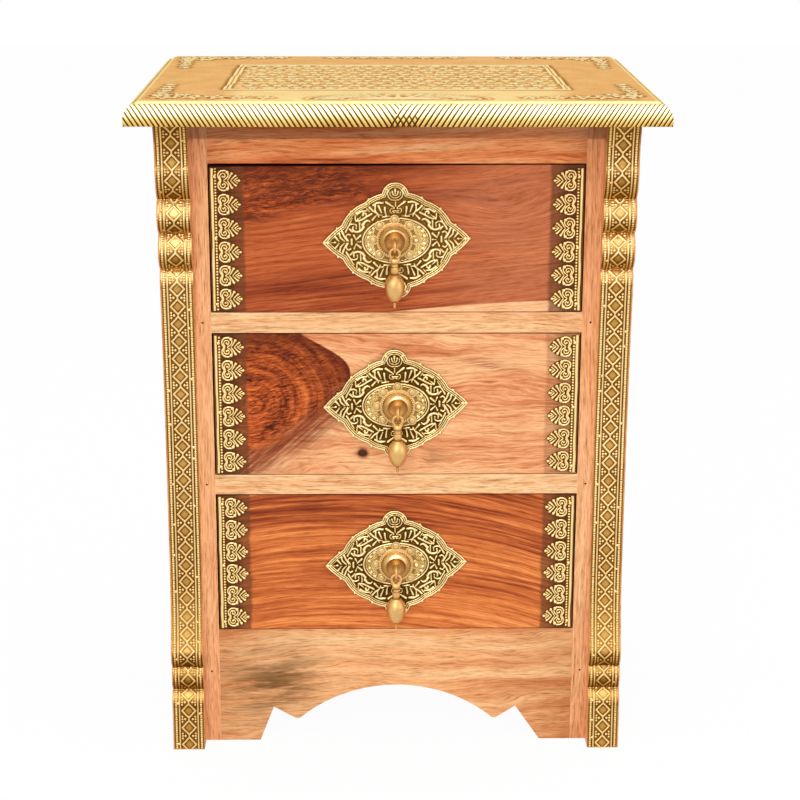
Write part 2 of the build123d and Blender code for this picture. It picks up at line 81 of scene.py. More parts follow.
# ---------------------------------------------------------------- settings
class ChestBrassSettings(bpy.types.PropertyGroup):
    """Colours and sizes of the brass."""

    cast: colour_property("Cast", "Cast pulls", 232, 186, 118)
    cell: FloatProperty(name="Cell", description="Grid step of the relief, in millimetres", default=0.45,
                        min=0.3, max=2.0)
    strip_relief: length_property("Strip relief", "Height of the ribs on the posts", 0.7)
    trim_relief: length_property("Trim relief", "Height of the palmettes", 0.9)
    plate_relief: length_property("Plate relief", "Height of the leaves on the backplates", 1.1)
    rope_relief: length_property("Rope relief", "Depth of the flutes of the lip", 0.8)
    seed: IntProperty(name="Seed", description="Places of the nails and small unevenness", default=7)


class ChestWoodSettings(bpy.types.PropertyGroup):
    """Colours of the wood."""

    pale: colour_property("Pale", "Sapwood", 255, 200, 150)
    honey: colour_property("Honey", "Light wood of the frame", 246, 178, 128)
    red: colour_property("Red", "Heartwood", 172, 80, 36)
    dark: colour_property("Dark", "Dark streaks of the heartwood", 98, 36, 12)
    black: colour_property("Black", "Black lines of the heartwood", 48, 18, 6)
    orange: colour_property("Orange", "Bright flecks of the heartwood", 218, 104, 44)
    stain: colour_property("Stain", "Brown stain behind the palmettes", 116, 68, 38)
    inner: colour_property("Inner", "Plain wood inside the drawers", 226, 180, 132)


class ChestStageSettings(bpy.types.PropertyGroup):
    """Camera, lamps and floor."""

    camera_place: FloatVectorProperty(name="Camera", description="Place of the camera", size=3,
                                      subtype="TRANSLATION", unit="LENGTH",
                                      default=(-0.02502, -1.7508, 0.82327))
    camera_lens: FloatProperty(name="Lens", description="Focal length in millimetres", default=86.87)
    camera_yaw: FloatProperty(name="Yaw", description="Turn of the camera to the right", subtype="ANGLE",
                              default=math.radians(0.969))
    camera_pitch: FloatProperty(name="Pitch", description="Downward tilt of the camera", subtype="ANGLE",
                                default=math.radians(16.46))
    camera_roll: FloatProperty(name="Roll", description="Roll of the camera", subtype="ANGLE",
                               default=math.radians(0.16))
    key_power: FloatProperty(name="Key", description="Large soft lamp in front, in watts", default=26)
    top_power: FloatProperty(name="Top", description="Soft lamp above, in watts", default=16)
    fill_power: FloatProperty(name="Fill", description="Soft lamp at the side, in watts", default=8)
    room_light: FloatProperty(name="Room", description="Strength of the room's own light", default=0.62)
    floor: colour_property("Floor", "Pale floor", 250, 250, 250)


# ---------------------------------------------------------------- shader sums
class Socket:
    """Output socket that takes part in Python sums, which add their Math nodes."""

    def __init__(self, nodes, link):
        self.nodes = nodes
        self.link = link

    def math(self, operation, *others):
        return self.nodes.node("ShaderNodeMath", {"operation": operation}, dict(enumerate((self, *others))))

    def __add__(self, other):
        return self.math("ADD", other)

    def __sub__(self, other):
        return self.math("SUBTRACT", other)

    def __rsub__(self, other):
        return self.nodes.node("ShaderNodeMath", {"operation": "SUBTRACT"}, {0: other, 1: self})

    def __mul__(self, other):
        return self.math("MULTIPLY", other)

    __radd__, __rmul__ = __add__, __mul__

    def step(self, low, high):
        """Smooth step from 0 at low to 1 at high."""
        values = {0: self, 1: low, 2: high, 3: 0.0, 4: 1.0}
        return self.nodes.node("ShaderNodeMapRange", {"interpolation_type": "SMOOTHSTEP"}, values)


class Nodes:
    """Node tree that grows by calls."""

    def __init__(self, tree):
        self.tree = tree

    def feed(self, slot, value):
        if isinstance(value, Socket):
            self.tree.links.new(value.link, slot)
        elif hasattr(value, "__len__") and len(value) == 3 and slot.type == "RGBA":
            slot.default_value = (*value, 1)
        else:
            slot.default_value = value

    def node(self, kind, settings=None, inputs=None, output=0):
        """Add a node: its settings first, then the values or links of its sockets."""
        node = self.tree.nodes.new(kind)
        for key, value in (settings or {}).items():
            if key == "stops":
                ramp = node.color_ramp.elements
                while len(ramp) < len(value):
                    ramp.new(1)
                for stop, (place, colour) in zip(ramp, value):
                    stop.position = place
                    stop.color = (*colour, 1)
            else:
                setattr(node, key, value)
        for key, value in (inputs or {}).items():
            self.feed(node.inputs[key], value)
        return Socket(self, node.outputs[output]) if len(node.outputs) else None

    def pale_rays(self):
        """1 where the background shows white: seen straight, in a gloss or through glass."""
        seen, *others = (self.node("ShaderNodeLightPath", output=f"Is {ray} Ray")
                         for ray in ("Camera", "Glossy", "Transmission"))
        for other in others:
            seen = seen.math("MAXIMUM", other)
        return seen


class Shader(Nodes):
    """New material around a Principled BSDF."""

    def __init__(self, name, **constants):
        self.material = bpy.data.materials.new(name)
        self.material.use_nodes = True
        super().__init__(self.material.node_tree)
        self.surface = self.tree.nodes["Principled BSDF"]
        for key, value in constants.items():
            self.surface.inputs[key.replace("_", " ").title().replace("Ior", "IOR")].default_value = value
        self.material.diffuse_color = (0.6, 0.4, 0.2, 1)

    def mix(self, share, first, second, blend="MIX"):
        """Blend two colours."""
        settings = {"data_type": "RGBA", "blend_type": blend, "clamp_factor": True}
        return self.node("ShaderNodeMix", settings, {0: share, 6: first, 7: second}, output=2)

    def times(self, share, first, second):
        """Multiply a colour by another, as far as the share says."""
        return self.mix(share, first, second, "MULTIPLY")

    def ramp(self, value, *stops):
        """Colour for a value, from stops of (value, colour)."""
        return self.node("ShaderNodeValToRGB", {"stops": stops}, {0: value})

    def place(self):
        """Place on the chest, in metres, as three values."""
        link = self.node("ShaderNodeTexCoord", output=3)
        return [self.node("ShaderNodeSeparateXYZ", None, {0: link}, output=axis) for axis in range(3)]

    def noise(self, place, scale, detail=2.0, roughness=0.5):
        """Noise with a scale for each axis, or one for all, in features for each metre."""
        scale = scale if isinstance(scale, tuple) else (scale,) * 3
        stretched = [part * factor for part, factor in zip(place, scale)]
        vector = self.node("ShaderNodeCombineXYZ", None, dict(enumerate(stretched)))
        inputs = {"Vector": vector, "Scale": 1.0, "Detail": detail, "Roughness": roughness}
        return self.node("ShaderNodeTexNoise", None, inputs)

    def bump(self, height, distance, strength=0.4):
        inputs = {"Height": height, "Distance": distance * MM, "Strength": strength}
        self.link("Normal", self.node("ShaderNodeBump", None, inputs))

    def link(self, name, value):
        self.feed(self.surface.inputs[name], value)


# ---------------------------------------------------------------- brass finishes
# five colours of each kind of brass, from the rubbed tops to the hollows; on the post strips, the lip and the
# rosette bosses the patina that picks them also holds painted light and shade
STRIP_TONES = ((252, 226, 168), (240, 198, 124), (210, 162, 86), (166, 118, 50), (106, 64, 16))
TRIM_TONES = ((255, 230, 168), (240, 196, 116), (188, 140, 62), (138, 90, 26), (98, 56, 6))
PLATE_TONES = ((255, 240, 184), (246, 212, 134), (206, 162, 86), (148, 102, 38), (78, 48, 10))
ROSETTE_TONES = ((255, 236, 184), (236, 200, 138), (206, 166, 104), (166, 124, 64), (98, 64, 26))
TOP_TONES = ((255, 252, 218), (255, 240, 184), (232, 184, 126), (196, 146, 84), (140, 92, 42))
LIP_TONES = ((255, 252, 222), (246, 226, 160), (230, 190, 104), (150, 106, 42), (72, 40, 8))
TONE_STOPS = (0.0, 0.26, 0.5, 0.74, 1.0)


def brass_material(name, tones, bare=0.0, scratch_scale=900, dust=0.0):
    """Embossed sheet: worn tops and dark recesses, from the relief stored on the mesh, which on the post
    strips, the lip and the rosette bosses also holds painted highlights and painted shade. `tones` runs from
    the tops to the hollows, `bare` takes patina away and `dust` adds it towards the floor."""
    shader = Shader(name, specular_tint=(0.86, 0.66, 0.36, 1.0))
    place = shader.place()
    # patina stored on the mesh, which also holds painted light and shade on the post strips, the lip and the
    # rosette bosses
    recess = shader.node("ShaderNodeAttribute", {"attribute_name": "recess"}, output=2)
    cloud = shader.noise(place, 38, 3)
    speck = shader.noise(place, scratch_scale)
    depth = recess - bare + (cloud - 0.5) * 0.26 + (speck - 0.5) * 0.22
    if dust:
        depth = depth + (1 - place[2].step(0.02, 0.42)) * dust
    stops = [(share, paint(*tone)) for share, tone in zip(TONE_STOPS, tones)]
    shader.link("Base Color", shader.ramp(depth, *stops))
    shader.link("Metallic", 1 - depth.step(0.55, 1.0) * 0.12)
    shader.link("Roughness", 0.34 + depth.step(0.1, 0.9) * 0.24 + (speck - 0.5) * 0.14)
    shader.bump(speck * 0.6 + cloud, 0.12)
    return shader.material


# brown grooves of a pull: level from the middle of its rosette, and half width, in millimetres
PULL_GROOVES = ((-18.2, 0.7), (-21.4, 0.6), (-27.8, 0.9), (-52.6, 1.2))


def cast_material(pitch, lowest):
    """Cast pulls, a pitch apart from the lowest one upwards: worn smooth, and brown in their grooves."""
    look = bpy.context.scene.chest_brass
    shader = Shader("cast brass pulls")
    place = shader.place()
    level = (place[2] - (lowest - pitch / 2)).math("FLOORED_MODULO", pitch) - pitch / 2
    cloud = shader.noise(place, 150, 3)
    speck = shader.noise(place, 1500)
    pit = shader.noise(place, 900, 1).step(0.70, 0.76)
    grime = (cloud - 0.40) * 0.6
    for groove, reach in PULL_GROOVES:
        near = (level - groove * MM).math("ABSOLUTE")
        grime = grime.math("MAXIMUM", (1 - near.step(0.1 * MM, reach * MM)) * 0.85 + (cloud - 0.5) * 0.4)
    stops = [(0.0, look.cast), (0.5, paint(196, 146, 82)), (1.0, paint(112, 70, 30))]
    shader.link("Base Color", shader.ramp(grime + pit * 0.8, *stops))
    shader.link("Metallic", 1 - grime.step(0.4, 1.0) * 0.15)
    shader.link("Roughness", 0.42 + grime.step(0.0, 1.0) * 0.2 + (speck - 0.5) * 0.12)
    shader.bump(speck * 0.5 + cloud, 0.12, 0.5)
    return shader.material


# ---------------------------------------------------------------- wood finishes
UNDER_TOP = 0.568      # the wood above this level gets a painted shadow of the top, in metres
PITH_DEPTH = 0.35      # distance of the pith behind the middle of the chest, in metres
STAIN_EDGE = 133       # the stain of the drawer ends starts here, in millimetres from the middle
# places of the figure of the wood, in metres: x on a front, or x and z
FLAME_X, WEDGE_X, SWIRL_X, CURVE_X = 0.100, 0.078, -0.128, 0.082
KNOT, BLOT, APRON_PATCH = (0.0542, 0.2902), (0.036, 0.281), (-0.115, 0.057)
HEART_CORNER = (-0.1337, 0.282)


def board(name):
    """New wood material, its place, and the same as x, y and z."""
    shader = Shader(name, specular_ior_level=0.12)
    place = shader.place()
    return shader, place, *place


def wood_surface(shader, colour, grain, polish=0.34, contrast=1.0):
    """Streaks, fibres, pores and a waxed sheen over the lightest colour of a wood."""
    streak = shader.noise(grain, (26, 480, 480), 3, 0.65)
    fibre = shader.noise(grain, (80, 1150, 1150), 2, 0.6)
    pore = shader.noise(grain, (110, 1500, 1500), 2).step(0.60, 0.70)
    tone = shader.ramp(streak * 0.54 + fibre * 0.46, (0.34, (0.50, 0.32, 0.20)), (0.46, (0.82, 0.72, 0.62)),
                       (0.58, (1.0, 1.0, 1.0)))
    colour = shader.times(contrast, colour, tone)
    colour = shader.mix(pore * 0.4, colour, shader.times(1.0, colour, (0.42, 0.30, 0.24)))
    shader.link("Base Color", colour)
    shader.link("Roughness", polish + (fibre - 0.5) * 0.16 + pore * 0.2)
    shader.bump(fibre * 0.5 - pore, 0.10)


def plain_wood(name, axis, light, deep, streaks=0.4, polish=0.42, top_shadow=False):
    """Straight-grained board along an axis: growth rings about a distant pith and slow changes of colour. It
    can take a painted shadow close under the top."""
    shader, place, *_ = board(name)
    turn = "XYZ".index(axis)
    grain = along, across, depth = place[turn:] + place[:turn]
    sway = shader.noise(grain, (3.5, 14, 14)) - 0.5
    slow = shader.noise(grain, (1.8, 24, 24), 3, 0.6)
    deeper = depth - PITH_DEPTH
    radius = (across * across + deeper * deeper).math("SQRT") + sway * 0.030
    ring = (radius * 170).math("PINGPONG", 1.0)
    tone = (slow - 0.5) * 2.6 * streaks + (ring - 0.5) * 0.40 + 0.46
    colour = shader.mix(tone, light, deep)
    # painted shadow of the overhang of the top
    if top_shadow:
        colour = painted_top_shadow(shader, place, colour, 0.85)
    wood_surface(shader, colour, [along, across + sway * 0.02, depth + sway * 0.02], polish)
    return shader.material


def top_rail_wood():
    """Rail under the top: orange wood, with a painted shadow along its upper edge."""
    shader, place, x, y, z = board("frame wood top rail")
    sway = shader.noise(place, (6, 22, 22), 3) - 0.5
    slow = shader.noise([x, y, z - x * 0.05 + sway * 0.02], (4.0, 90, 90), 4, 0.62)
    colour = shader.ramp(slow, (0.32, paint(255, 200, 148)), (0.43, paint(255, 176, 116)),
                         (0.53, paint(244, 146, 86)), (0.64, paint(184, 90, 46)))
    # painted shadow under the top, weaker towards the right
    colour = painted_top_shadow(shader, place, colour, 1 - x.step(0.0, 0.14) * 0.35)
    ends = (x.math("ABSOLUTE") + sway * 0.02).step(0.13, 0.19)
    colour = shader.mix(ends * 0.3, colour, paint(150, 92, 60))
    wood_surface(shader, colour, [x, y, z - x * 0.04 + sway * 0.03], 0.42)
    return shader.material


def painted_top_shadow(shader, place, colour, share):
    """Painted shadow of the overhang of the top: a straight darker band close under it."""
    ragged = shader.noise(place, (20, 60, 60)) - 0.5
    shadow_mask = (place[2] - UNDER_TOP + ragged * 0.003).step(-0.001, 0.001)
    return shader.mix(shadow_mask * share, colour, shader.times(1.0, colour, (0.50, 0.50, 0.52)))


def stain_band(shader, place, colour, right=0.75):
    """Brown stain at both ends of a drawer front, under the palmettes, weaker at the right end if asked."""
    look = bpy.context.scene.chest_wood
    x, y, z = place
    ragged = shader.noise([x, y, z * 0.4], 120, 3, 0.6) - 0.5
    reach = x.math("ABSOLUTE") + ragged * 0.005
    share = 0.75 - x.step(-0.01, 0.01) * (0.75 - right)
    start = reach.step((STAIN_EDGE - 1.5) * MM, (STAIN_EDGE + 2.0) * MM)
    colour = shader.mix(start * share, colour, look.stain)
    deep = reach.step((STAIN_EDGE + 5) * MM, (STAIN_EDGE + 16) * MM)
    return shader.mix(deep * share, colour, paint(84, 46, 22))


def swell(x, z, centre, size):
    """Soft bump from 0 to 1 about a point of the front, in metres."""
    across, up = (x - centre[0]) * (1 / size[0]), (z - centre[1]) * (1 / size[1])
    return ((across * across + up * up) * -1).math("EXPONENT")


def heart_lines(shader, place, level, thin=330, warp=0.008):
    """Long fine lines of heartwood along a level, from 0 (light) to 1 (dark)."""
    x, y = place[:2]
    sway = shader.noise([x, y, level], (7, 26, 26), 3) - 0.5
    bent = [x, y, level + sway * warp]
    lines = shader.noise(bent, (8.0, thin, thin), 4, 0.66)
    broad = shader.noise(bent, (3.4, thin / 6, thin / 6), 3)
    return lines * 0.64 + broad * 0.36, bent


def wild_figure(shader, place, slope, dark=0.5, level=None):
    """Interlocked heartwood: orange flecks and black veins at a slope, or in bands along a level."""
    look = bpy.context.scene.chest_wood
    x, y, z = place
    sway = shader.noise(place, (26, 46, 46), 3) - 0.5
    turned = [x + z * slope, y, z - x * slope + sway * 0.016]
    if level is None:
        veins = shader.noise(turned, (30, 210, 210), 5, 0.74)
    else:
        veins = shader.noise([level + sway * 0.006, x, z], (150, 16, 16), 4, 0.62)
    chips = shader.noise(turned, (120, 640, 640), 3, 0.72)
    tone = veins * 0.5 + chips * 0.5 + (dark - 0.5) * 0.2
    return shader.ramp(tone, (0.38, paint(246, 138, 70)), (0.45, look.orange), (0.51, look.red),
                       (0.58, look.dark), (0.68, look.black))


def upper_front_wood(low, high):
    """Upper drawer: heartwood with a wild dark corner, a flame on the right and a wedge of sapwood below."""
    look = bpy.context.scene.chest_wood
    shader, place, x, _, z = board("figured wood upper drawer")
    middle = (low + high) / 2
    ragged = shader.noise(place, (14, 30, 30), 3) - 0.5
    flame = swell(x, z, (FLAME_X, middle + 0.020), (0.050, 0.024)) * 0.016
    tone, bent = heart_lines(shader, place, z - x * 0.11 + flame)
    heart = shader.ramp(tone, (0.36, paint(216, 118, 66)), (0.46, paint(196, 100, 54)),
                        (0.56, paint(170, 80, 42)), (0.66, paint(124, 50, 24)), (0.76, paint(84, 30, 16)))
    faded = (x + ragged * 0.12).step(-0.01, 0.10)
    heart = shader.mix(faded * 0.42, heart, paint(226, 148, 106))
    below = (z - low - 0.022 + ragged * 0.02).step(-0.02, 0.012)
    heart = shader.mix((1 - below) * (tone.step(0.46, 0.60) * 0.4 + 0.12), heart, paint(128, 44, 20))
    wild = wild_figure(shader, place, 0.10, 0.74)
    corner = (z - (high - 30 * MM) - x * 0.16 + ragged * 0.05).step(-0.010, 0.012)
    corner = corner * (1 - (x + ragged * 0.06).step(-0.055, 0.02))
    colour = shader.mix(corner * 0.8, heart, wild)
    edge = (z - (high - 8 * MM) + ragged * 0.012).step(-0.004, 0.006) * (1 - x.step(0.0, 0.1))
    colour = shader.mix(edge * 0.6, colour, look.dark)
    # the sapwood starts at the middle and rises in two straight runs
    rise = ((x + 0.002) * 0.088).math("MINIMUM", (x - WEDGE_X) * 0.038 + 0.0074)
    wedge = z - (low + 0.4 * MM) - rise + ragged * 0.0016
    colour = shader.mix(1 - wedge.step(-0.0008, 0.0006), colour, look.pale)
    colour = stain_band(shader, place, colour)
    wood_surface(shader, colour, bent, contrast=0.85)
    return shader.material


def middle_front_wood(low, high):
    """Middle drawer: wild heartwood on the left with a curved edge, sapwood with a knot on the right."""
    look = bpy.context.scene.chest_wood
    shader, place, x, y, z = board("figured wood middle drawer")
    ragged = shader.noise(place, (14, 30, 30), 3) - 0.5
    across, up = x - SWIRL_X, z - (low + high) / 2
    swirl = (across * across + up * up).math("SQRT")
    wild = wild_figure(shader, place, 0.25, 0.52, swirl)
    wild = shader.mix(swirl.step(0.028, 0.075) * 0.5, wild, look.dark)
    slope_edge = (x + 0.082) * 0.52 + (z - high + 0.002) * 0.85
    round_edge = ragged * 0.005 - slope_edge.math("SMOOTH_MAX", x + 0.041, 0.02)
    lower_edge = (z - HEART_CORNER[1] - (x - HEART_CORNER[0]) * 0.71) * 0.8 + ragged * 0.010
    slanted = [x + z * 0.85, y, z - x * 0.85]
    streak = shader.noise(slanted, (16, 300, 300), 5, 0.68)
    heart = round_edge.step(-0.0007, 0.0007) * (lower_edge + (streak - 0.5) * 0.03).step(-0.006, 0.005)
    # sapwood: wavy lines, with a darker curve on the right of the plate and a fall below it
    sway = shader.noise(place, (14, 38, 38), 3) - 0.5
    hill = swell(x, z, (0.095, high - 0.040), (0.055, 0.018)) * 0.012
    level = z + x * 0.10 + (z - high) * x * 1.2 - hill + sway * 0.020
    sap_tone = shader.noise([x, y, level], (14, 340, 340), 4, 0.68)
    slow = shader.noise([x, y, level], (5, 70, 70), 3)
    sap = shader.ramp(sap_tone * 0.6 + slow * 0.4, (0.34, paint(255, 208, 156)), (0.47, paint(252, 186, 134)),
                      (0.56, paint(232, 152, 102)), (0.68, paint(190, 104, 62)))
    curve = swell(x, z + x * 0.22, (CURVE_X, high - 0.010), (0.028, 0.004))
    sap = shader.mix(curve * sap_tone.step(0.36, 0.56) * 0.8, sap, paint(176, 92, 58))
    below = (lower_edge + ragged * 0.024).step(-0.048, -0.004) * (1 - lower_edge.step(0.004, 0.012))
    smoke = below * (streak.step(0.36, 0.60) * 0.5 + below * 0.6) * (1 - x.step(-0.05, 0.02))
    sap = shader.mix(smoke, sap, paint(150, 74, 42))
    blot = swell(x, z, BLOT, (0.011, 0.008))
    sap = shader.mix(blot * 0.35, sap, paint(150, 108, 76))
    ruffle = shader.noise(place, 160, 3, 0.6) - 0.5
    knot = swell(x + z * 0.3, z - x * 0.2, KNOT, (0.0056, 0.0050)) + ruffle * 0.7
    sap = shader.mix(knot.step(0.05, 0.5) * 0.6, sap, paint(150, 70, 36))
    sap = shader.mix(knot.step(0.40, 0.70) * 0.9, sap, look.black)
    rim = heart * (1 - round_edge.step(0.0015, 0.011))
    top = (z - (high - 11 * MM) + ragged * 0.014).step(-0.006, 0.008) * heart
    colour = shader.mix(heart, sap, wild)
    colour = shader.mix((rim * 0.66).math("MAXIMUM", top * 0.6), colour, look.dark)
    colour = stain_band(shader, place, colour, 0.35)
    wood_surface(shader, colour, [x, y, level], contrast=0.85)
    return shader.material


def lower_front_wood(low, high):
    """Lower drawer: orange-red heartwood with long dark lines, closer towards the top left."""
    shader, place, x, _, z = board("figured wood lower drawer")
    middle = (low + high) / 2
    curve = (x + 0.06) * (x + 0.06) * 0.9
    tone, bent = heart_lines(shader, place, z + curve - x * 0.03, 300, 0.012)
    upper = (z - middle - 0.012).step(0.0, 0.05) * (1 - x.step(0.05, 0.14))
    tone = tone + upper * 0.06 + 0.015
    colour = shader.ramp(tone, (0.35, paint(255, 172, 102)), (0.45, paint(240, 144, 78)),
                         (0.54, paint(208, 112, 56)), (0.63, paint(154, 68, 34)), (0.74, paint(96, 36, 18)))
    colour = stain_band(shader, place, colour)
    wood_surface(shader, colour, bent, contrast=0.9)
    return shader.material


def apron_wood():
    """Apron: pale wood with a patch of grey-brown streaks near its left end and darker ends."""
    shader, place, x, y, z = board("figured wood apron")
    sway = shader.noise(place, (8, 26, 26), 3) - 0.5
    bent = [x, y, z - x * 0.03 + sway * 0.025]
    slow = shader.noise(bent, (3, 60, 60), 5, 0.66)
    colour = shader.ramp(slow, (0.34, paint(255, 212, 160)), (0.50, paint(255, 196, 140)),
                         (0.64, paint(234, 156, 100)))
    streak = shader.noise([x, y, z - x * 0.08], (14, 120, 120), 5, 0.65)
    ragged = x + (slow - 0.5) * 0.10
    ends = 1 - ragged.step(-0.17, -0.06) + ragged.step(0.06, 0.17)
    colour = shader.mix(ends * (0.35 + slow.step(0.4, 0.6) * 0.35), colour, paint(196, 124, 72))
    patch = swell(x + sway * 0.04, z + sway * 0.03, APRON_PATCH, (0.044, 0.030))
    colour = shader.mix(patch * (streak.step(0.42, 0.58) * 0.8 + 0.14), colour, paint(128, 92, 50))
    wood_surface(shader, colour, bent, 0.45)
    return shader.material


def dress(names, material):
    """Give CAD nodes a finish through their material slots."""
    for name in names:
        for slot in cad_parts[name].material_slots:
            slot.material = material


# ---------------------------------------------------------------- relief drawing, in millimetres
def share_of(value, start, end):
    """From 0 at the start to 1 at the end, and level outside."""
    return np.clip((value - start) / (end - start), 0, 1)


def polar(centre, radius, angle):
    """Points at a distance and an angle from a centre."""
    return np.stack([centre[0] + radius * np.cos(angle), centre[1] + radius * np.sin(angle)], -1)


def smooth_line(points, steps=8):
    """Catmull-Rom curve through a few points."""
    points = np.array(points, float)
    padded = np.vstack([2 * points[0] - points[1], points, 2 * points[-1] - points[-2]])
    share = np.linspace(0, 1, steps, endpoint=False)[:, None]
    runs = []
    for before, start, end, after in zip(padded, padded[1:], padded[2:], padded[3:]):
        runs.append(0.5 * (2 * start + (end - before) * share
                           + (2 * before - 5 * start + 4 * end - after) * share**2
                           + (3 * start - before - 3 * end + after) * share**3))
    return np.vstack(runs + [points[-1:]])


class Relief:
    """Height map over a flat rectangle, built up from ribs and beads."""

    def __init__(self, x_range, y_range, cell):
        self.x = np.linspace(*x_range, round((x_range[1] - x_range[0]) / cell) + 1)
        self.y = np.linspace(*y_range, round((y_range[1] - y_range[0]) / cell) + 1)
        self.height = np.zeros((len(self.y), len(self.x)))
        self.cell = cell

    def window(self, low, high):
        """Part of the grid between two corners, with its coordinates."""
        columns = slice(*np.searchsorted(self.x, (low[0], high[0])))
        rows = slice(*np.searchsorted(self.y, (low[1], high[1])))
        return (rows, columns), *np.meshgrid(self.x[columns], self.y[rows])

    def raise_to(self, part, rise):
        np.maximum(self.height[part], rise, out=self.height[part])

    def rib(self, points, width, height):
        """Round-topped rib along a line. Width is a half width, or one for each point."""
        points = np.asarray(points, float)
        widths = np.broadcast_to(width, len(points))
        for start, end, first, last in zip(points[:-1], points[1:], widths[:-1], widths[1:]):
            reach = max(first, last)
            part, x, y = self.window(np.minimum(start, end) - reach, np.maximum(start, end) + reach)
            run = end - start
            share = ((x - start[0]) * run[0] + (y - start[1]) * run[1]) / max(run @ run, 1e-9)
            share = np.clip(share, 0, 1)
            away = np.hypot(x - start[0] - share * run[0], y - start[1] - share * run[1])
            half = np.maximum(first + share * (last - first), 1e-6)
            self.raise_to(part, height * np.sqrt(np.clip(1 - (away / half) ** 2, 0, 1)))

    def leaf(self, start, end, width, height, rise=0.0, round_end=0.0):
        """Leaf with a pointed or a rounded far end, which bulges to the left by rise."""
        start, end = np.array(start, float), np.array(end, float)
        share = np.linspace(0, 1, 9)
        side = np.array([start[1] - end[1], end[0] - start[0]])
        side /= np.hypot(*side) or 1
        line = start + (end - start) * share[:, None] + side * rise * np.sin(np.pi * share)[:, None]
        shape = np.sin(np.pi * np.clip(share * 0.86 + 0.10, 0, 1)) ** 0.8
        self.rib(line, width * np.maximum(shape, round_end * share), height)

    def bead(self, centre, radius, height):
        part, x, y = self.window(np.subtract(centre, radius), np.add(centre, radius))
        away = np.hypot(x - centre[0], y - centre[1]) / radius
        self.raise_to(part, height * np.sqrt(np.clip(1 - away**2, 0, 1)))

    def blurred(self, reach):
        """Height softened over a distance."""
        spread = max(1, round(reach / self.cell))
        taps = np.exp(-0.5 * (np.arange(-2 * spread, 2 * spread + 1) / spread) ** 2)
        taps /= taps.sum()
        soft = self.height
        for axis in (0, 1):
            pad = [(2 * spread,) * 2 if side == axis else (0, 0) for side in (0, 1)]
            padded = np.pad(soft, pad, mode="edge")
            count = soft.shape[axis]
            soft = sum(tap * np.take(padded, range(k, k + count), axis) for k, tap in enumerate(taps))
        return soft

    def recess(self, full, ground=0.55, reach=1.1):
        """Patina from 0 on the tops to 1 in the hollows. `full` is the height of a full rib."""
        low = share_of(self.height, 0.55 * full, 0)
        hollow = share_of(self.blurred(reach) - self.height, 0, 0.32 * full)
        return np.clip(ground * low + 0.75 * hollow, 0, 1)


def strokes(relief, table, height, at):
    """Ribs from a table of half widths and points. `at` puts a point of the table on the sheet."""
    for first, last, *points in table:
        line = smooth_line([at(*point) for point in points])
        relief.rib(line, np.linspace(first, last, len(line)), height)


def polygon_gap(x, y, outline):
    """Signed distance to a closed outline, negative inside, and the nearest point on it."""
    start = np.asarray(outline, float)
    end = np.roll(start, -1, axis=0)
    best = np.full(x.shape, np.inf)
    near_x, near_y = np.zeros(x.shape), np.zeros(x.shape)
    inside = np.zeros(x.shape, bool)
    for (ax, ay), (bx, by) in zip(start, end):
        run = max((bx - ax) ** 2 + (by - ay) ** 2, 1e-12)
        share = np.clip(((x - ax) * (bx - ax) + (y - ay) * (by - ay)) / run, 0, 1)
        px, py = ax + share * (bx - ax), ay + share * (by - ay)
        away = np.hypot(x - px, y - py)
        nearer = away < best
        best = np.where(nearer, away, best)
        near_x, near_y = np.where(nearer, px, near_x), np.where(nearer, py, near_y)
        if ay != by:
            crosses = (ay > y) != (by > y)
            inside ^= crosses & (x < (bx - ax) * (y - ay) / (by - ay) + ax)
    return np.where(inside, -best, best), near_x, near_y


def arc_through(start, middle, end, steps=10):
    """Points on the circle through three points, without the last one."""
    (ax, ay), (bx, by), (cx, cy) = start, middle, end
    twice = 2 * (ax * (by - cy) + bx * (cy - ay) + cx * (ay - by))
    ux = ((ax**2 + ay**2) * (by - cy) + (bx**2 + by**2) * (cy - ay) + (cx**2 + cy**2) * (ay - by)) / twice
    uy = ((ax**2 + ay**2) * (cx - bx) + (bx**2 + by**2) * (ax - cx) + (cx**2 + cy**2) * (bx - ax)) / twice
    first, mid, last = (math.atan2(q - uy, p - ux) for p, q in (start, middle, end))
    turn = (last - first) % (2 * math.pi)
    if (mid - first) % (2 * math.pi) > turn:
        turn -= 2 * math.pi
    radius = math.hypot(ax - ux, ay - uy)
    return list(polar((ux, uy), radius, first + turn * np.arange(steps) / steps))


SHARP_EDGE = math.radians(55)
WALL_PATINA = 0.9


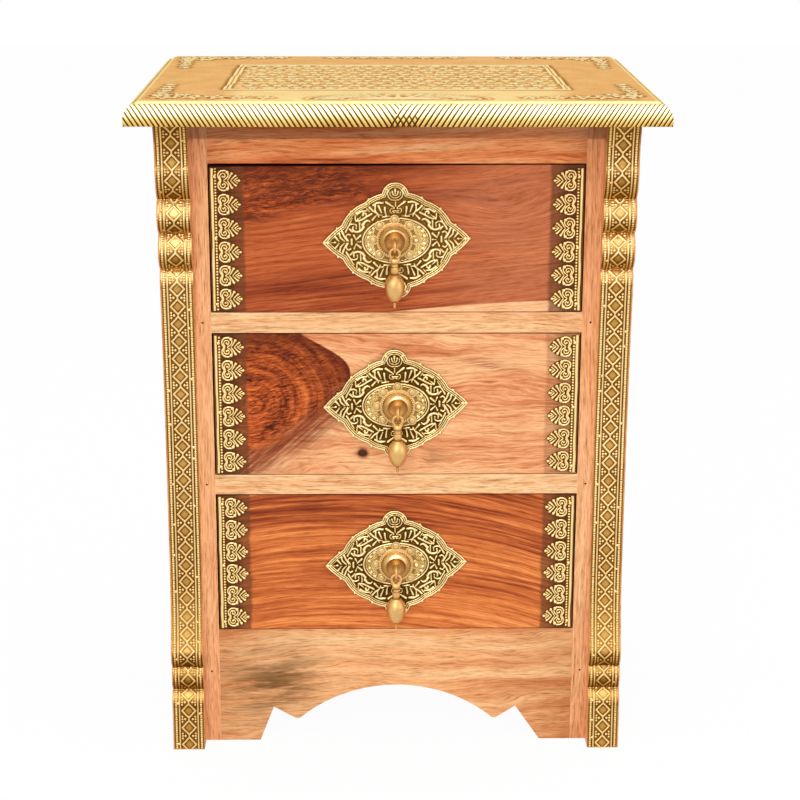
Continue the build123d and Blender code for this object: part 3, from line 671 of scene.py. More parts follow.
class Work:
    """Mesh in the making, in millimetres, with the patina of each corner, which on some pieces also holds
    painted light and shade.
    """

    def __init__(self):
        self.points, self.faces, self.recess = [], [], []
        self.count = 0

    def add(self, points, faces, recess):
        points = np.asarray(points, float).reshape(-1, 3)
        self.points.append(points)
        self.recess.append(np.broadcast_to(recess, len(points)))
        self.faces += [tuple(int(corner) + self.count for corner in face) for face in faces]
        self.count += len(points)

    def sheet(self, relief, place, recess, outline=None, back=-0.4, close=False, kept=None):
        """Relief bent by place(x, y, height), cut to an outline or a mask, with walls down to the back."""
        x, y = np.meshgrid(relief.x, relief.y)
        rows, columns = x.shape
        number = np.arange(rows * columns).reshape(rows, columns)
        keep = np.ones(x.shape, bool) if kept is None else kept
        if outline is not None:
            gap, near_x, near_y = polygon_gap(x, y, outline)
            snap = np.abs(gap) < 0.5 * relief.cell
            x, y = np.where(snap, near_x, x), np.where(snap, near_y, y)
            keep = gap < 0.5 * relief.cell
        corners = np.stack([number[:-1, :-1], number[:-1, 1:], number[1:, 1:], number[1:, :-1]], -1)
        corners = corners.reshape(-1, 4)
        held = keep.ravel()[corners]
        faces = [tuple(face) for face in corners[held.all(1)]]
        halved = held.sum(1) == 3
        faces += [tuple(face[mask]) for face, mask in zip(corners[halved], held[halved])]
        used = np.zeros(rows * columns, bool)
        for face in faces:
            used[list(face)] = True
        renumber = np.cumsum(used) - 1
        faces = [tuple(renumber[list(face)]) for face in faces]
        flat_x, flat_y = x.ravel()[used], y.ravel()[used]
        top = place(flat_x, flat_y, relief.height.ravel()[used])
        tone = recess.ravel()[used]
        edges = dict.fromkeys(edge for face in faces for edge in zip(face, face[1:] + face[:1]))
        open_edges = {first: last for first, last in edges if (last, first) not in edges}
        rim = sorted(open_edges)
        below = {corner: len(top) + index for index, corner in enumerate(rim)}
        bottom = place(flat_x[rim], flat_y[rim], np.full(len(rim), back))
        faces += [(last, first, below[first], below[last]) for first, last in open_edges.items()]
        if close:
            left = dict(open_edges)
            while left:
                first, corner = left.popitem()
                loop = [first]
                while corner in left:
                    loop.append(corner)
                    corner = left.pop(corner)
                faces.append(tuple(below[corner] for corner in reversed(loop)))
        self.add(np.vstack([top, bottom]), faces, np.concatenate([tone, np.full(len(rim), WALL_PATINA)]))

    def turned(self, profile, recess, centre, steps=96, sheen=0.0):
        """Solid of revolution about an axis along Y. The profile holds (radius, y). The sheen is a painted
        highlight that takes patina off its upper side."""
        profile, recess = np.asarray(profile, float), np.broadcast_to(recess, len(profile))
        angle = np.linspace(0, 2 * np.pi, steps, endpoint=False)
        radius, level = profile[:, 0][:, None], profile[:, 1][:, None]
        points = np.stack([centre[0] + radius * np.cos(angle), level + 0 * angle,
                           centre[1] + radius * np.sin(angle)], -1)
        ring = np.arange(steps)
        faces = []
        for row in range(len(profile) - 1):
            low, high = row * steps, (row + 1) * steps
            faces += [(low + a, high + a, high + b, low + b) for a, b in zip(ring, np.roll(ring, -1))]
        # painted highlight: patina is taken off the upper side, as if lit from above
        painted_top_light = sheen * np.clip(np.sin(angle), 0, 1) ** 2
        self.add(points, faces, np.clip(recess[:, None] - painted_top_light, 0, 1).ravel())

    def domes(self, centres, radius, recess=0.0, rings=4, steps=12):
        """Half-round beads that face the front."""
        lift = np.pi / 2 * np.arange(rings)[:, None] / rings
        turn = np.linspace(0, 2 * np.pi, steps, endpoint=False)
        offsets = [np.cos(lift) * np.cos(turn), -np.sin(lift) + 0 * turn, np.cos(lift) * np.sin(turn)]
        offsets = np.vstack([np.stack(offsets, -1).reshape(-1, 3), (0, -1, 0)]) * radius
        pairs = [(a, (a + 1) % steps) for a in range(steps)]
        faces = [(low + a, low + b, low + steps + b, low + steps + a)
                 for low in range(0, (rings - 1) * steps, steps) for a, b in pairs]
        last = (rings - 1) * steps
        faces += [(last + a, last + b, last + steps) for a, b in pairs]
        for centre in centres:
            self.add(np.add(centre, offsets), faces, recess)

    def finish(self, name, material, body, slot, *nodes):
        """Make the object, hang it on its body and let it stand for its CAD nodes."""
        mesh = bpy.data.meshes.new(name)
        mesh.from_pydata((np.vstack(self.points) * MM).tolist(), [], self.faces)
        mesh.validate()
        # the recess attribute carries the patina, with painted light and shade on some pieces
        layer = mesh.attributes.new("recess", "FLOAT", "POINT")
        layer.data.foreach_set("value", np.concatenate(self.recess).astype(np.float32))
        mesh.shade_smooth()
        mesh.set_sharp_from_angle(angle=SHARP_EDGE)
        mesh.materials.append(material)
        piece = bpy.data.objects.new(name, mesh)
        bpy.context.scene.collection.objects.link(piece)
        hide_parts(*nodes)
        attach(piece, body)
        return piece


def node_box(name):
    """Lowest and highest corner of a CAD node, in millimetres."""
    low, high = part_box(name)
    return np.array(low) / MM, np.array(high) / MM


def pull_nodes(part):
    """For each drawer: its name, one node of its pull, and that node's box and middle in millimetres."""
    for drawer in DRAWERS:
        low, high = node_box(f"{drawer}_pull_{part}")
        yield drawer, f"{drawer}_pull_{part}", low, high, (low + high) / 2


def front_place(face, x_shift, z_shift, tilt=0.0):
    """Placement of a flat sheet on a plane that faces the front."""
    cos, sin = math.cos(tilt), math.sin(tilt)

    def place(x, y, height):
        return np.stack([x_shift + x * cos - y * sin, face - height, z_shift + x * sin + y * cos], -1)
    return place


# ---------------------------------------------------------------- brass strips of the posts
# pattern of a strip: half width and height of a rhomb, and how far the ribs and pearls are from the middle
RHOMB_X, RHOMB_Z, STRIP_RIB, STRIP_PEARLS = 6.3, 6.9, 8.4, 11.5
RHOMB_PITCH, PEARL_PITCH, NAIL_PITCH = 16.4, 2.15, 21.0


def strip_relief(length, width, cell, full, seed):
    """Chain of rhombs between ribs, with dots in the corners and pearls along the edges."""
    chance = np.random.default_rng(seed)
    relief = Relief((0, width), (0, length), cell)
    middle = width / 2
    for side in (-1, 1):
        rib = middle + side * STRIP_RIB
        relief.rib([(rib, 0), (rib, length)], 0.72, 0.95 * full)
        for z in np.arange(1.1, length, PEARL_PITCH):
            relief.bead((middle + side * STRIP_PEARLS, z + chance.normal(0, 0.12)), 1.12, 1.15 * full)
    low = -4.0
    while low < length:
        pitch = RHOMB_PITCH + chance.uniform(-0.8, 0.8)
        centre = low + pitch / 2
        below, above = (middle, centre - RHOMB_Z), (middle, centre + RHOMB_Z)
        relief.rib([below, (middle + RHOMB_X, centre), above, (middle - RHOMB_X, centre), below], 0.85, full)
        relief.rib([(middle, low), below], 0.85, full)
        relief.rib([above, (middle, low + pitch)], 0.85, full)
        for side in (-1, 1):
            relief.bead((middle + side * 3.5, low), 1.15, 1.1 * full)
            for shift in (-2.5, 0.0, 2.5):
                relief.bead((middle + side * 6.0, low + shift), 1.0, 1.1 * full)
        low += pitch
    for z in np.arange(9.0, length, NAIL_PITCH):
        side = chance.choice((-1, 1))
        place = (middle + side * (STRIP_RIB + chance.uniform(0.5, 2.2)), z + chance.uniform(-6, 6))
        relief.bead(place, 1.3, 1.8 * full)
    return relief


def front_line(node, x, step=0.2):
    """Front surface of a CAD node at x, read from below upwards, as (y, z) in millimetres."""
    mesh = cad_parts[node].data
    tree = BVHTree.FromPolygons([corner.co for corner in mesh.vertices],
                                [face.vertices for face in mesh.polygons])
    low, high = node_box(node)
    line = []
    for z in np.arange(low[2] + 0.05, high[2] - 0.04, step):
        hit = tree.ray_cast(Vector((x, low[1] - 20, z)) * MM, Vector((0, 1, 0)))[0]
        line.append((hit[1] / MM, z))
    return np.array(line)


def bent_place(line, x_shift, sink):
    """Placement that wraps a sheet round a front line. Returns it with the length of the line and with the
    upward lean of the surface, from -1 to 1, at a distance along it."""
    soft = line.copy()
    for _ in range(6):
        soft[1:-1, 0] = (soft[:-2, 0] + soft[1:-1, 0] * 2 + soft[2:, 0]) / 4
    run = np.hypot(*np.diff(soft, axis=0).T)
    length = np.concatenate([[0], np.cumsum(run)])

    def heading(y, reach=0.6):
        ahead = [np.interp(y + reach, length, soft[:, k]) for k in (0, 1)]
        behind = [np.interp(y - reach, length, soft[:, k]) for k in (0, 1)]
        dy, dz = ahead[0] - behind[0], ahead[1] - behind[1]
        size = np.hypot(dy, dz)
        return dy / size, dz / size

    def place(x, y, height):
        dy, dz = heading(y)
        out = height - sink
        return np.stack([x_shift + x, np.interp(y, length, soft[:, 0]) - dz * out,
                         np.interp(y, length, soft[:, 1]) + dy * out], -1)
    return place, length[-1], lambda y: heading(y, 1.2)[0]


class CHEST_OT_post_strips(bpy.types.Operator):
    """Embossed brass strips on the two carved posts"""

    bl_idname = "chest.post_strips"
    bl_label = "Post strips"

    def execute(self, context):
        look = context.scene.chest_brass
        full = look.strip_relief / MM
        material = brass_material("embossed brass strips", STRIP_TONES, dust=0.2)
        for side in SIDES:
            node = f"post_brass_{side}"
            low, high = node_box(node)
            line = front_line(node, (low[0] + high[0]) / 2)
            left, right = (1.6, 0.4) if side == "left" else (0.4, 1.6)
            place, length, lean = bent_place(line, low[0] - left, 0.5 * full)
            width = high[0] + right - (low[0] - left)
            relief = strip_relief(length, width, look.cell, full, look.seed + SIDES[side])
            up = lean(relief.y)[:, None]
            # painted light and shade: where the strip leans upwards its patina is lightened as if lit from
            # above, and where it leans downwards painted shade is added
            painted_top_light, painted_under_shade = share_of(up, 0, 0.5) ** 0.7, share_of(up, 0, -0.6) ** 0.7
            recess = relief.recess(full, 0.48) * (1 - 0.6 * painted_top_light)
            recess += painted_under_shade * (0.30 + 0.16 * (1 - recess))
            work = Work()
            work.sheet(relief, place, np.clip(recess, 0, 1), back=-0.4)
            work.finish(f"brass_strip_{side}", material, "carcass", "embossed_brass", node)
        return {"FINISHED"}


# ---------------------------------------------------------------- palmette trims
TRIM_SPINE, TRIM_LENGTH, TRIM_COUNT = 5.8, 21.0, 6
# strokes of one half of a palmette, as (along, across): half widths, then the points
TRIM_STROKES = (
    (0.85, 0.8, (2.7, 0.0), (0.9, 3.4), (1.4, 6.6), (3.8, 8.5), (7.0, 8.7)),
    (0.65, 0.6, (3.3, 0.7), (2.4, 3.4), (3.7, 5.9), (6.2, 6.0), (7.1, 3.9), (6.0, 2.3)),
    (0.55, 0.8, (5.8, 0.3), (8.6, 2.4), (9.8, 4.9), (8.9, 7.6)),
    (0.5, 0.95, (9.0, 0.2), (10.9, 3.0), (12.6, 6.4)), (0.5, 0.9, (11.9, 0.2), (14.0, 2.4), (16.2, 4.6)),
    (0.5, 0.6, (14.6, 0.1), (17.6, 2.3)), (0.5, 0.9, (16.6, 0.0), (19.4, 0.0)),
)
# beads of one half of a palmette, as (along, across, radius)
TRIM_BEADS = ((4.9, 3.5, 1.1), (8.8, 7.4, 1.65), (12.8, 6.3, 1.4), (16.3, 4.4, 1.2), (19.0, 0.0, 1.4))


def palmette_edge(way, half, length):
    """Edge of one palmette from the spine to its tip, as (along, across) points."""
    waist, shoulder = (0, way * 0.8 * half), (0.42 * length, way * 0.96 * half)
    neck = (0.95 * length, way * 1.6)
    return (arc_through(waist, (0.19 * length, way * half), shoulder)
            + arc_through(shoulder, (0.76 * length, way * 0.62 * half), neck) + [neck])


def trim_relief(height, cell, full, seed):
    """Ridge, pearls and a row of palmettes that point along x, with the outline of the sheet."""
    chance = np.random.default_rng(seed)
    spine, length = TRIM_SPINE, TRIM_LENGTH
    relief = Relief((-1.0, spine + length), (0, height), cell)
    pitch = height / TRIM_COUNT
    half = pitch / 2 - 1.05
    edge = smooth_line([(1.2 + chance.uniform(-0.3, 0.3), z) for z in np.linspace(-2, height + 2, 9)])
    last = len(edge) - 1
    widths = np.interp(np.arange(last + 1), np.linspace(0, last, 7), chance.uniform(1.0, 1.4, 7))
    relief.rib(edge, widths, 0.7 * full)
    for z in np.arange(1.2, height, 2.6):
        relief.bead((4.1, z + chance.normal(0, 0.12)), 0.98, 0.85 * full)
    outline = [(-1.0, height), (-1.0, 0)]
    for index in range(TRIM_COUNT):
        middle = pitch * (index + 0.5)
        low, high = ([(spine + along, middle + across) for along, across in palmette_edge(way, half, length)]
                     for way in (-1, 1))
        outline += ([(spine, 0)] if index == 0 else []) + low + [(spine + length, middle)] + high[::-1]
        for way in (-1, 1):
            def at(along, across):
                return np.array((spine + along, middle + way * across))

            strokes(relief, TRIM_STROKES, full, at)
            for along, across, radius in TRIM_BEADS:
                relief.bead(at(along, across), radius, 1.45 * full)
    outline.append((spine, height))
    for z in (6.0, height / 2 + chance.uniform(-8, 8), height - 7.0):
        relief.bead((3.4, z), 1.5, 1.5 * full)
    return relief, outline


class CHEST_OT_palmette_trims(bpy.types.Operator):
    """Brass palmettes at both ends of the drawer fronts"""

    bl_idname = "chest.palmette_trims"
    bl_label = "Palmette trims"

    def execute(self, context):
        look = context.scene.chest_brass
        full = look.trim_relief / MM
        material = brass_material("embossed brass palmettes", TRIM_TONES)
        for row, drawer in enumerate(DRAWERS):
            for side, way in SIDES.items():
                node = f"{drawer}_drawer_trim_{side}"
                low, high = node_box(node)
                relief, outline = trim_relief(high[2] - low[2], 0.42, full, look.seed + row * 2 + way)
                recess = relief.recess(full, 0.72, 1.0)
                outline = np.array(outline)
                if way > 0:
                    relief.height = relief.height[:, ::-1]
                    recess = recess[:, ::-1]
                    relief.x = high[0] - low[0] - relief.x[::-1]
                    outline[:, 0] = high[0] - low[0] - outline[:, 0]
                place = front_place(high[1] - 0.45, low[0], low[2])
                work = Work()
                work.sheet(relief, place, recess, outline, back=-0.45, close=True)
                work.finish(f"palmettes_{drawer}_{side}", material, f"{drawer}_drawer", "embossed_brass",
                            node)
        return {"FINISHED"}


# ---------------------------------------------------------------- backplates
# outline of one quarter in millimetres, tilt in degrees, rims as (inset, half width, height), ring and nails
PLATE_TIP = (65.0, 0.0)
PLATE_CUSPS = ((11.6, 42.0), (26.8, 34.6), (47.6, 15.4))
PLATE_BULGES = (1.3, 3.0, 0.9)
PLATE_LOBE_TOP = 51.6
PLATE_TILT = 1.77
PLATE_RIMS = ((0.75, 0.75, 1.0), (2.5, 0.6, 0.95), (4.1, 0.5, 0.8))
PLATE_RING = (29.6, 19.8)
PLATE_FLOWERS = ((24.4, 3.4), (23.0, 7.6), (19.6, 11.4), (14.2, 14.6))
PLATE_NAILS = ((7.4, 45.6), (22.9, 37.4), (38.8, 27.2), (51.4, 12.6))
# strokes of one quarter of the plate: the first and the last half width, and the points
PLATE_STROKES = (
    # fan over the ring
    (0.5, 1.15, (1.4, 29.4), (8.0, 34.2)), (1.05, 0.9, (11.2, 33.8), (15.6, 33.9), (19.6, 31.8)),
    (0.5, 0.5, (1.2, 28.6), (4.2, 28.2), (5.0, 25.8), (3.4, 24.4), (1.0, 24.8)),
    (0.95, 0.55, (9.6, 29.6), (9.2, 26.0), (8.5, 22.4)), (0.5, 0.9, (5.6, 21.9), (11.4, 21.4)),
    (0.95, 0.5, (14.8, 31.0), (12.4, 25.0)), (0.95, 0.5, (17.8, 31.2), (17.8, 27.6), (16.6, 24.6)),
    (0.95, 0.55, (22.8, 30.2), (20.0, 27.2), (16.2, 24.4), (14.8, 21.2)),
    (0.6, 0.55, (12.0, 23.0), (15.2, 23.2)), (0.55, 1.05, (16.6, 23.2), (20.4, 19.0)),
    (0.6, 0.55, (25.0, 29.0), (22.8, 26.4)),
    # scroll of the shoulder
    (0.7, 1.15, (25.4, 27.2), (29.6, 26.9), (33.6, 24.6)),
    (1.0, 0.6, (28.6, 23.4), (28.2, 25.2), (26.2, 24.8), (25.6, 22.6)),
    (0.9, 0.75, (21.0, 24.4), (26.0, 21.6), (29.4, 19.6), (32.8, 18.2)),
    (0.5, 0.8, (30.6, 22.2), (34.6, 18.2)), (0.7, 0.6, (35.4, 23.2), (35.2, 18.4)),
    (0.5, 1.45, (22.4, 17.2), (24.4, 18.6), (27.0, 17.4), (29.0, 14.8)),
    (1.2, 0.75, (28.4, 12.8), (30.6, 10.0), (34.4, 8.8), (37.6, 10.2), (37.6, 13.2)),
    (0.8, 0.5, (31.8, 16.6), (31.8, 10.6)),
    (0.65, 0.8, (34.8, 11.8), (34.8, 14.6), (37.2, 15.9), (40.4, 15.2), (42.6, 12.0), (44.2, 9.0)),
    (0.5, 0.65, (38.0, 20.6), (40.6, 16.0)), (0.85, 0.5, (40.6, 11.4), (38.0, 8.4)),
    # flower and palmette of the side tip
    (0.75, 0.55, (40.4, 6.2), (42.4, 7.0), (44.0, 4.6), (42.0, 0.8)),
    (1.0, 0.55, (47.4, 9.4), (45.6, 5.2), (43.2, 1.0)), (0.95, 0.55, (49.8, 7.6), (48.8, 4.0), (45.6, 0.8)),
    (0.95, 0.5, (53.4, 4.8), (50.2, 0.8)), (1.0, 0.5, (31.4, 5.4), (35.6, 1.6)),
    (0.8, 0.4, (37.2, 6.0), (35.6, 2.4)), (0.85, 0.85, (39.1, 2.2), (39.1, 0.0)),
    (0.8, 0.4, (53.4, 0.0), (57.4, 0.0)), (0.75, 0.4, (31.4, 0.0), (34.4, 0.0)),
    # lotus in the lobe, and the stem below it
    (0.55, 0.55, (0.0, 35.7), (3.4, 36.3), (5.9, 38.6), (6.6, 42.0), (5.4, 44.8)),
    (0.5, 0.5, (0.0, 37.9), (2.6, 38.5), (4.3, 40.4), (4.6, 42.8)),
    (0.5, 0.7, (0.0, 40.0), (1.8, 40.8), (2.6, 43.4)), (0.6, 1.0, (0.0, 41.6), (0.0, 45.2)),
    (0.7, 0.7, (0.0, 30.8), (0.0, 34.2)), (0.7, 0.7, (0.0, 26.4), (2.4, 26.4)),
)


def plate_outline(inset=0.0):
    """Cusped lozenge with round lobes, going round to the left from its right tip."""
    def bulged(start, end, rise):
        start, end = np.array(start), np.array(end)
        side = np.array([end[1] - start[1], start[0] - end[0]]) / np.hypot(*(end - start))
        return (start + end) / 2 + side * rise

    marks = [PLATE_TIP, *reversed(PLATE_CUSPS)]
    quarter = []
    for start, end, rise in zip(marks, marks[1:], reversed(PLATE_BULGES)):
        quarter += arc_through(start, bulged(start, end, rise), end)
    neck = PLATE_CUSPS[0]
    lobe = arc_through(neck, (0, PLATE_LOBE_TOP), (-neck[0], neck[1]), 20)
    upper = quarter + lobe + [(-x, z) for x, z in [neck] + quarter[:0:-1]]
    upper += [(-PLATE_TIP[0], 0)]
    loop = np.array(upper + [(x, -z) for x, z in upper[-2:0:-1]])
    if inset:
        ahead, behind = np.roll(loop, -1, 0), np.roll(loop, 1, 0)
        side = np.stack([behind[:, 1] - ahead[:, 1], ahead[:, 0] - behind[:, 0]], 1)
        loop = loop + side / np.hypot(*side.T)[:, None] * inset
    return loop


def plate_relief(cell, full):
    """Triple rim with nails, scrolling leaves in each quarter, and an oval ring round a stippled ground."""
    relief = Relief((-66, 66), (-52.5, 52.5), cell)
    x, y = np.meshgrid(relief.x, relief.y)
    stipple = np.random.default_rng(3).uniform(0.14, 0.46, x.shape)
    ring_x, ring_z = PLATE_RING
    relief.height = np.where(np.hypot(x / ring_x, y / ring_z) < 0.95, stipple * full, 0.0)
    for inset, width, rise in PLATE_RIMS:
        loop = plate_outline(inset)
        relief.rib(np.vstack([loop, loop[:1]]), width, rise * full)
    angle = np.linspace(0, 2 * np.pi, 90)
    for inset, width in ((0, 0.75), (2, 0.5)):
        ring = [(ring_x - inset) * np.cos(angle), (ring_z - inset) * np.sin(angle)]
        relief.rib(np.stack(ring, 1), width, 0.95 * full)
    for quarter in (-1, -1), (-1, 1), (1, -1), (1, 1):
        strokes(relief, PLATE_STROKES, full, lambda *point: np.multiply(quarter, point))
        for flower in PLATE_FLOWERS:
            relief.bead(np.multiply(quarter, flower), 1.4, 0.75 * full)
    return relief


class CHEST_OT_backplates(bpy.types.Operator):
    """Cusped brass plates behind the pulls"""

    bl_idname = "chest.backplates"
    bl_label = "Backplates"

    def execute(self, context):
        look = context.scene.chest_brass
        full = look.plate_relief / MM
        relief = plate_relief(look.cell, full)
        recess = relief.recess(full, 0.80, 1.0)
        tilt = math.radians(PLATE_TILT)
        for drawer, node, _, high, middle in pull_nodes("plate"):
            bare = 0.08 if drawer == "upper" else 0.0
            material = brass_material(f"embossed brass backplate {drawer}", PLATE_TONES, bare)
            place = front_place(high[1] - 0.9, middle[0], middle[2], tilt)
            work = Work()
            work.sheet(relief, place, recess, plate_outline(), back=-0.9, close=True)
            nails = [(way * x, up * z) for x, z in PLATE_NAILS for way in (-1, 1) for up in (-1, 1)]
            x, z = np.array(nails + [(-62.4, 0), (62.4, 0)]).T
            work.domes(place(x, z, np.full(len(x), 0.4)), 1.35)
            work.finish(f"backplate_{drawer}", material, f"{drawer}_drawer", "embossed_brass", node)
        return {"FINISHED"}


# ---------------------------------------------------------------- rosettes
PETAL_RING, PETAL_RADIUS = 18.4, 4.2
BEAD_RING, BEAD_COUNT = 13.9, 42
# boss from the collar inwards, as (radius, distance behind its front) with the patina
BOSS_COLLAR = ((14.9, 8.0, 0.8), (14.6, 7.0, 0.6), (13.6, 6.9, 0.9))
BOSS_DOME = ((13.2, 6.8), (12.5, 2.8), (9.9, 0.0))
BOSS_DOME_PATINA = (0.82, 0.7, 0.62, 0.57, 0.54, 0.52, 0.52, 0.54, 0.58)
BOSS_CUP = ((9.9, 0.0, 0.62), (9.4, -0.25, 0.5), (8.9, 0.1, 0.62), (8.3, 1.2, 0.56), (6.6, 3.0, 0.5),
            (4.2, 4.4, 0.48), (0.05, 5.0, 0.46))


def rosette_relief():
    """Eight round petals about a flat middle, with their outline."""
    relief = Relief((-22.8, 22.8), (-22.8, 22.8), 0.38)
    outline = []
    for turn in np.radians(np.arange(0, 360, 45)):
        centre = polar((0, 0), PETAL_RING, turn)
        relief.bead(centre, PETAL_RADIUS * 1.15, 1.3)
        part, x, y = relief.window(centre - 4.0, centre + 4.0)
        away = np.hypot(x - centre[0], y - centre[1])
        relief.height[part] -= 0.45 * np.exp(-((away - 2.8) / 0.5) ** 2)
        relief.bead(centre, 2.0, 1.5)
        edge = polar(centre, PETAL_RADIUS, turn + np.radians(14.5) * np.arange(-8, 9))
        outline += [point for point in edge if math.hypot(*point) > 18.6]
    x, y = np.meshgrid(relief.x, relief.y)
    relief.height = np.maximum(relief.height, share_of(np.hypot(x, y), 16.6, 15.4))
    return relief, outline


class CHEST_OT_rosettes(bpy.types.Operator):
    """Cast rosettes with petals, a beaded ring and a domed boss"""

    bl_idname = "chest.rosettes"
    bl_label = "Rosettes"

    def execute(self, context):
        material = brass_material("cast brass rosettes", ROSETTE_TONES)
        relief, outline = rosette_relief()
        recess = np.clip(relief.recess(1.3, 0.34, 1.0) * 0.9 + 0.34, 0, 0.76)
        dome = [(*point, patina) for point, patina in zip(arc_through(*BOSS_DOME, 9), BOSS_DOME_PATINA)]
        boss = np.array([*BOSS_COLLAR, *dome, *BOSS_CUP])
        turns = np.linspace(0, 2 * np.pi, BEAD_COUNT, endpoint=False)
        for drawer, node, low, high, middle in pull_nodes("rosette"):
            back, front, centre = high[1], low[1], middle[[0, 2]]
            work = Work()
            work.sheet(relief, front_place(back - 0.6, *centre), recess, outline, back=-0.6, close=True)
            # nail through the right petal
            work.domes([(centre[0] + PETAL_RING + 0.2, back - 1.6, centre[1] + 0.2)], 2.3)
            # the sheen paints a highlight on the upper side of the boss
            work.turned(boss[:, :2] + (0, front), boss[:, 2], centre, sheen=0.5)
            work.domes([(x, front + 7.0, z) for x, z in polar(centre, BEAD_RING, turns)], 0.85, 0.2)
            work.finish(f"rosette_{drawer}", material, f"{drawer}_drawer", "cast_brass", node)
        return {"FINISHED"}


# ---------------------------------------------------------------- top
# panel of leaves on the flat, and the half oval at the middle of its front
PANEL_X, PANEL_FRONT, PANEL_BACK = 141.0, -85.0, 88.0
OVAL_X, OVAL_Y = 76.0, 34.0


def curl(centre, radius, start, hand):
    """Points of a volute that winds inwards from a start angle."""
    share = np.linspace(0, 1, 16)
    return polar(centre, radius * (1 - 0.8 * share), start + hand * share * 2.5 * np.pi)


def field_relief(half_x, front, back, cell, full):
    """Flat of the top: a bordered panel of scrolling leaves, corner sprays and a half medallion."""
    relief = Relief((-half_x, half_x), (front, back), cell)
    chance = np.random.default_rng(11)
    for grow in (0.0, 3.6):
        x, low, high = PANEL_X + grow, PANEL_FRONT - grow, PANEL_BACK + grow
        wide = x + 3.4
        relief.rib([(-wide, low), (wide, low), (x, high), (-x, high), (-wide, low)], 1.2, full)

    def scroll(x, y, size, turn, hand):
        """Leafy curl."""
        relief.rib(curl((x, y), size, math.radians(turn), hand), 0.9 + size * 0.05, full)
        relief.bead((x, y), 1.5, full)
        for step in range(5):
            aim = math.radians(turn + hand * (step * 62 + 20))
            base = polar((x, y), size * 0.9, aim)
            tip = polar(base, size * 0.75, aim + hand * math.radians(35))
            relief.leaf(base, tip, 0.8 + size * 0.12, full, hand * 0.8)

    def oval(share, aim, lift=3):
        """Points of the half oval, or of a smaller one inside it."""
        return OVAL_X * share * np.cos(aim), front + lift + OVAL_Y * share * np.sin(aim)

    pitch_x, pitch_y = 13.4, 15.5
    columns = int(2 * PANEL_X / pitch_x)
    rows = int((PANEL_BACK - PANEL_FRONT) / pitch_y)
    for column in range(columns):
        for row in range(rows):
            along, across = (column + 0.25 + 0.5 * (row % 2)) / columns, (row + 0.5) / rows
            x = -PANEL_X + along * 2 * PANEL_X + chance.uniform(-2.4, 2.4)
            y = PANEL_FRONT + across * (PANEL_BACK - PANEL_FRONT) + chance.uniform(-2, 2)
            size = min(chance.uniform(3.0, 4.6), (PANEL_X - abs(x)) / 2)
            scroll(x, y, size, chance.uniform(0, 360), chance.choice((-1, 1)))
    for share in (1.0, 0.9, 0.62):
        relief.rib(np.stack(oval(share, np.linspace(0, np.pi, 60)), 1), 1.1, full)
    for aim in np.pi * (np.arange(21) + 0.5) / 21:
        relief.leaf(oval(0.65, aim), oval(0.87, aim), 2.2, full, 0, 0.6)
    for aim in np.pi * (np.arange(9) + 0.5) / 9:
        relief.leaf((0.0, front + 5), oval(0.55, aim, 4), 3.0, full, 0, 0.3)
    # sprays in the corners and along the edges
    for side in (-1, 1):
        for level, way in ((front, 1), (back, -1)):
            for run in range(5):
                x = side * (half_x - 18 - run * 21.0)
                scroll(x, level + way * (17 - run), 9.0 - run * 0.7, 90 * run, side * way)
            for run in range(6):
                scroll(side * (half_x - 13 - run * 0.6), level + way * (27 + run * 14.0), 5.4 - run * 0.4,
                       90 * run, -side * way)
            scroll(side * (half_x - 30), level + way * 30, 6.0, 45, side)
    for run in range(-4, 5):
        scroll(run * 15.0, back - 14, 5.0, 90 * run, 1 if run < 0 else -1)
    return relief


# pitch of the hand-cut flutes at places along the front, from the right end to the left one
FLUTE_PLACES = (-235, -146, -67, 63, 141, 235)
FLUTE_PITCHES = (3.8, 3.87, 4.62, 4.8, 4.27, 4.2)
FLUTE_MEAN, FLUTE_SLANT = 4.4, 0.64
FILLET, FLUTE_TOP = 5.7, 7.2          # distances down the round: under the fillet, and where the flutes widen


def flute_dent(x, share_down):
    """Dark cut between two flutes, from 0 on a flute to 1 in the cut, wider further down."""
    places = np.arange(-360, 361.0)
    count = np.cumsum(1 / np.interp(places, FLUTE_PLACES, FLUTE_PITCHES))
    away = np.abs((np.interp(x, places, count) + 0.5) % 1.0 - 0.5) * FLUTE_MEAN
    reach = 0.66 + 0.50 * share_down
    return share_of(away, reach, reach - 0.45)


def rope_relief(half_x, depth, cell, full, both=True):
    """Slanting flutes of the lip under a rounded fillet, with the cuts as patina, painted shade down the
    round and a painted highlight line on the fillet. x runs along the edge and y down the round."""
    relief = Relief((-half_x, half_x) if both else (0, half_x), (0, depth), cell)
    relief.y = np.linspace(0, depth, round(depth / 0.5) + 1)
    x, y = np.meshgrid(relief.x, relief.y)
    down = share_of(y, FLUTE_TOP, depth)
    fall = FLUTE_SLANT * y
    falling, cut = flute_dent(x - fall, down), flute_dent(x + fall, down)
    if both:
        # the two slants meet in a short crossing near the middle
        first = 4.0 - 12.0 * down
        last = np.where(down > 0.58, 16.0, first)
        crossing = (-x > first) & (-x < last)
        cut = np.where(crossing, np.maximum(falling, cut * 0.9), np.where(-x > first, falling, cut))
    cut = cut * share_of(y, FILLET + 0.5, FILLET + 1.3)
    cut = np.maximum(cut, 0.8 * np.exp(-((y - FILLET) / 0.7) ** 2))
    bulge = np.where(y < FILLET, 0.9 * np.sin(np.pi * share_of(y, 0, FILLET)) ** 0.6, 1.0)
    relief.height = (bulge - 0.75 * cut) * full
    # painted shade: the flutes darken as the round turns downwards, and just under their top
    shade = 0.08 + 0.46 * share_of(down, 0.42, 0.92) + 0.26 * share_of(down, 0.14, 0)
    # on the fillet: a painted highlight line about 3 mm down the round
    shade = np.where(y < FILLET, 0.36 - 0.22 * np.exp(-((y - 3.0) / 1.3) ** 2), shade)
    return relief, np.maximum(cut, shade)


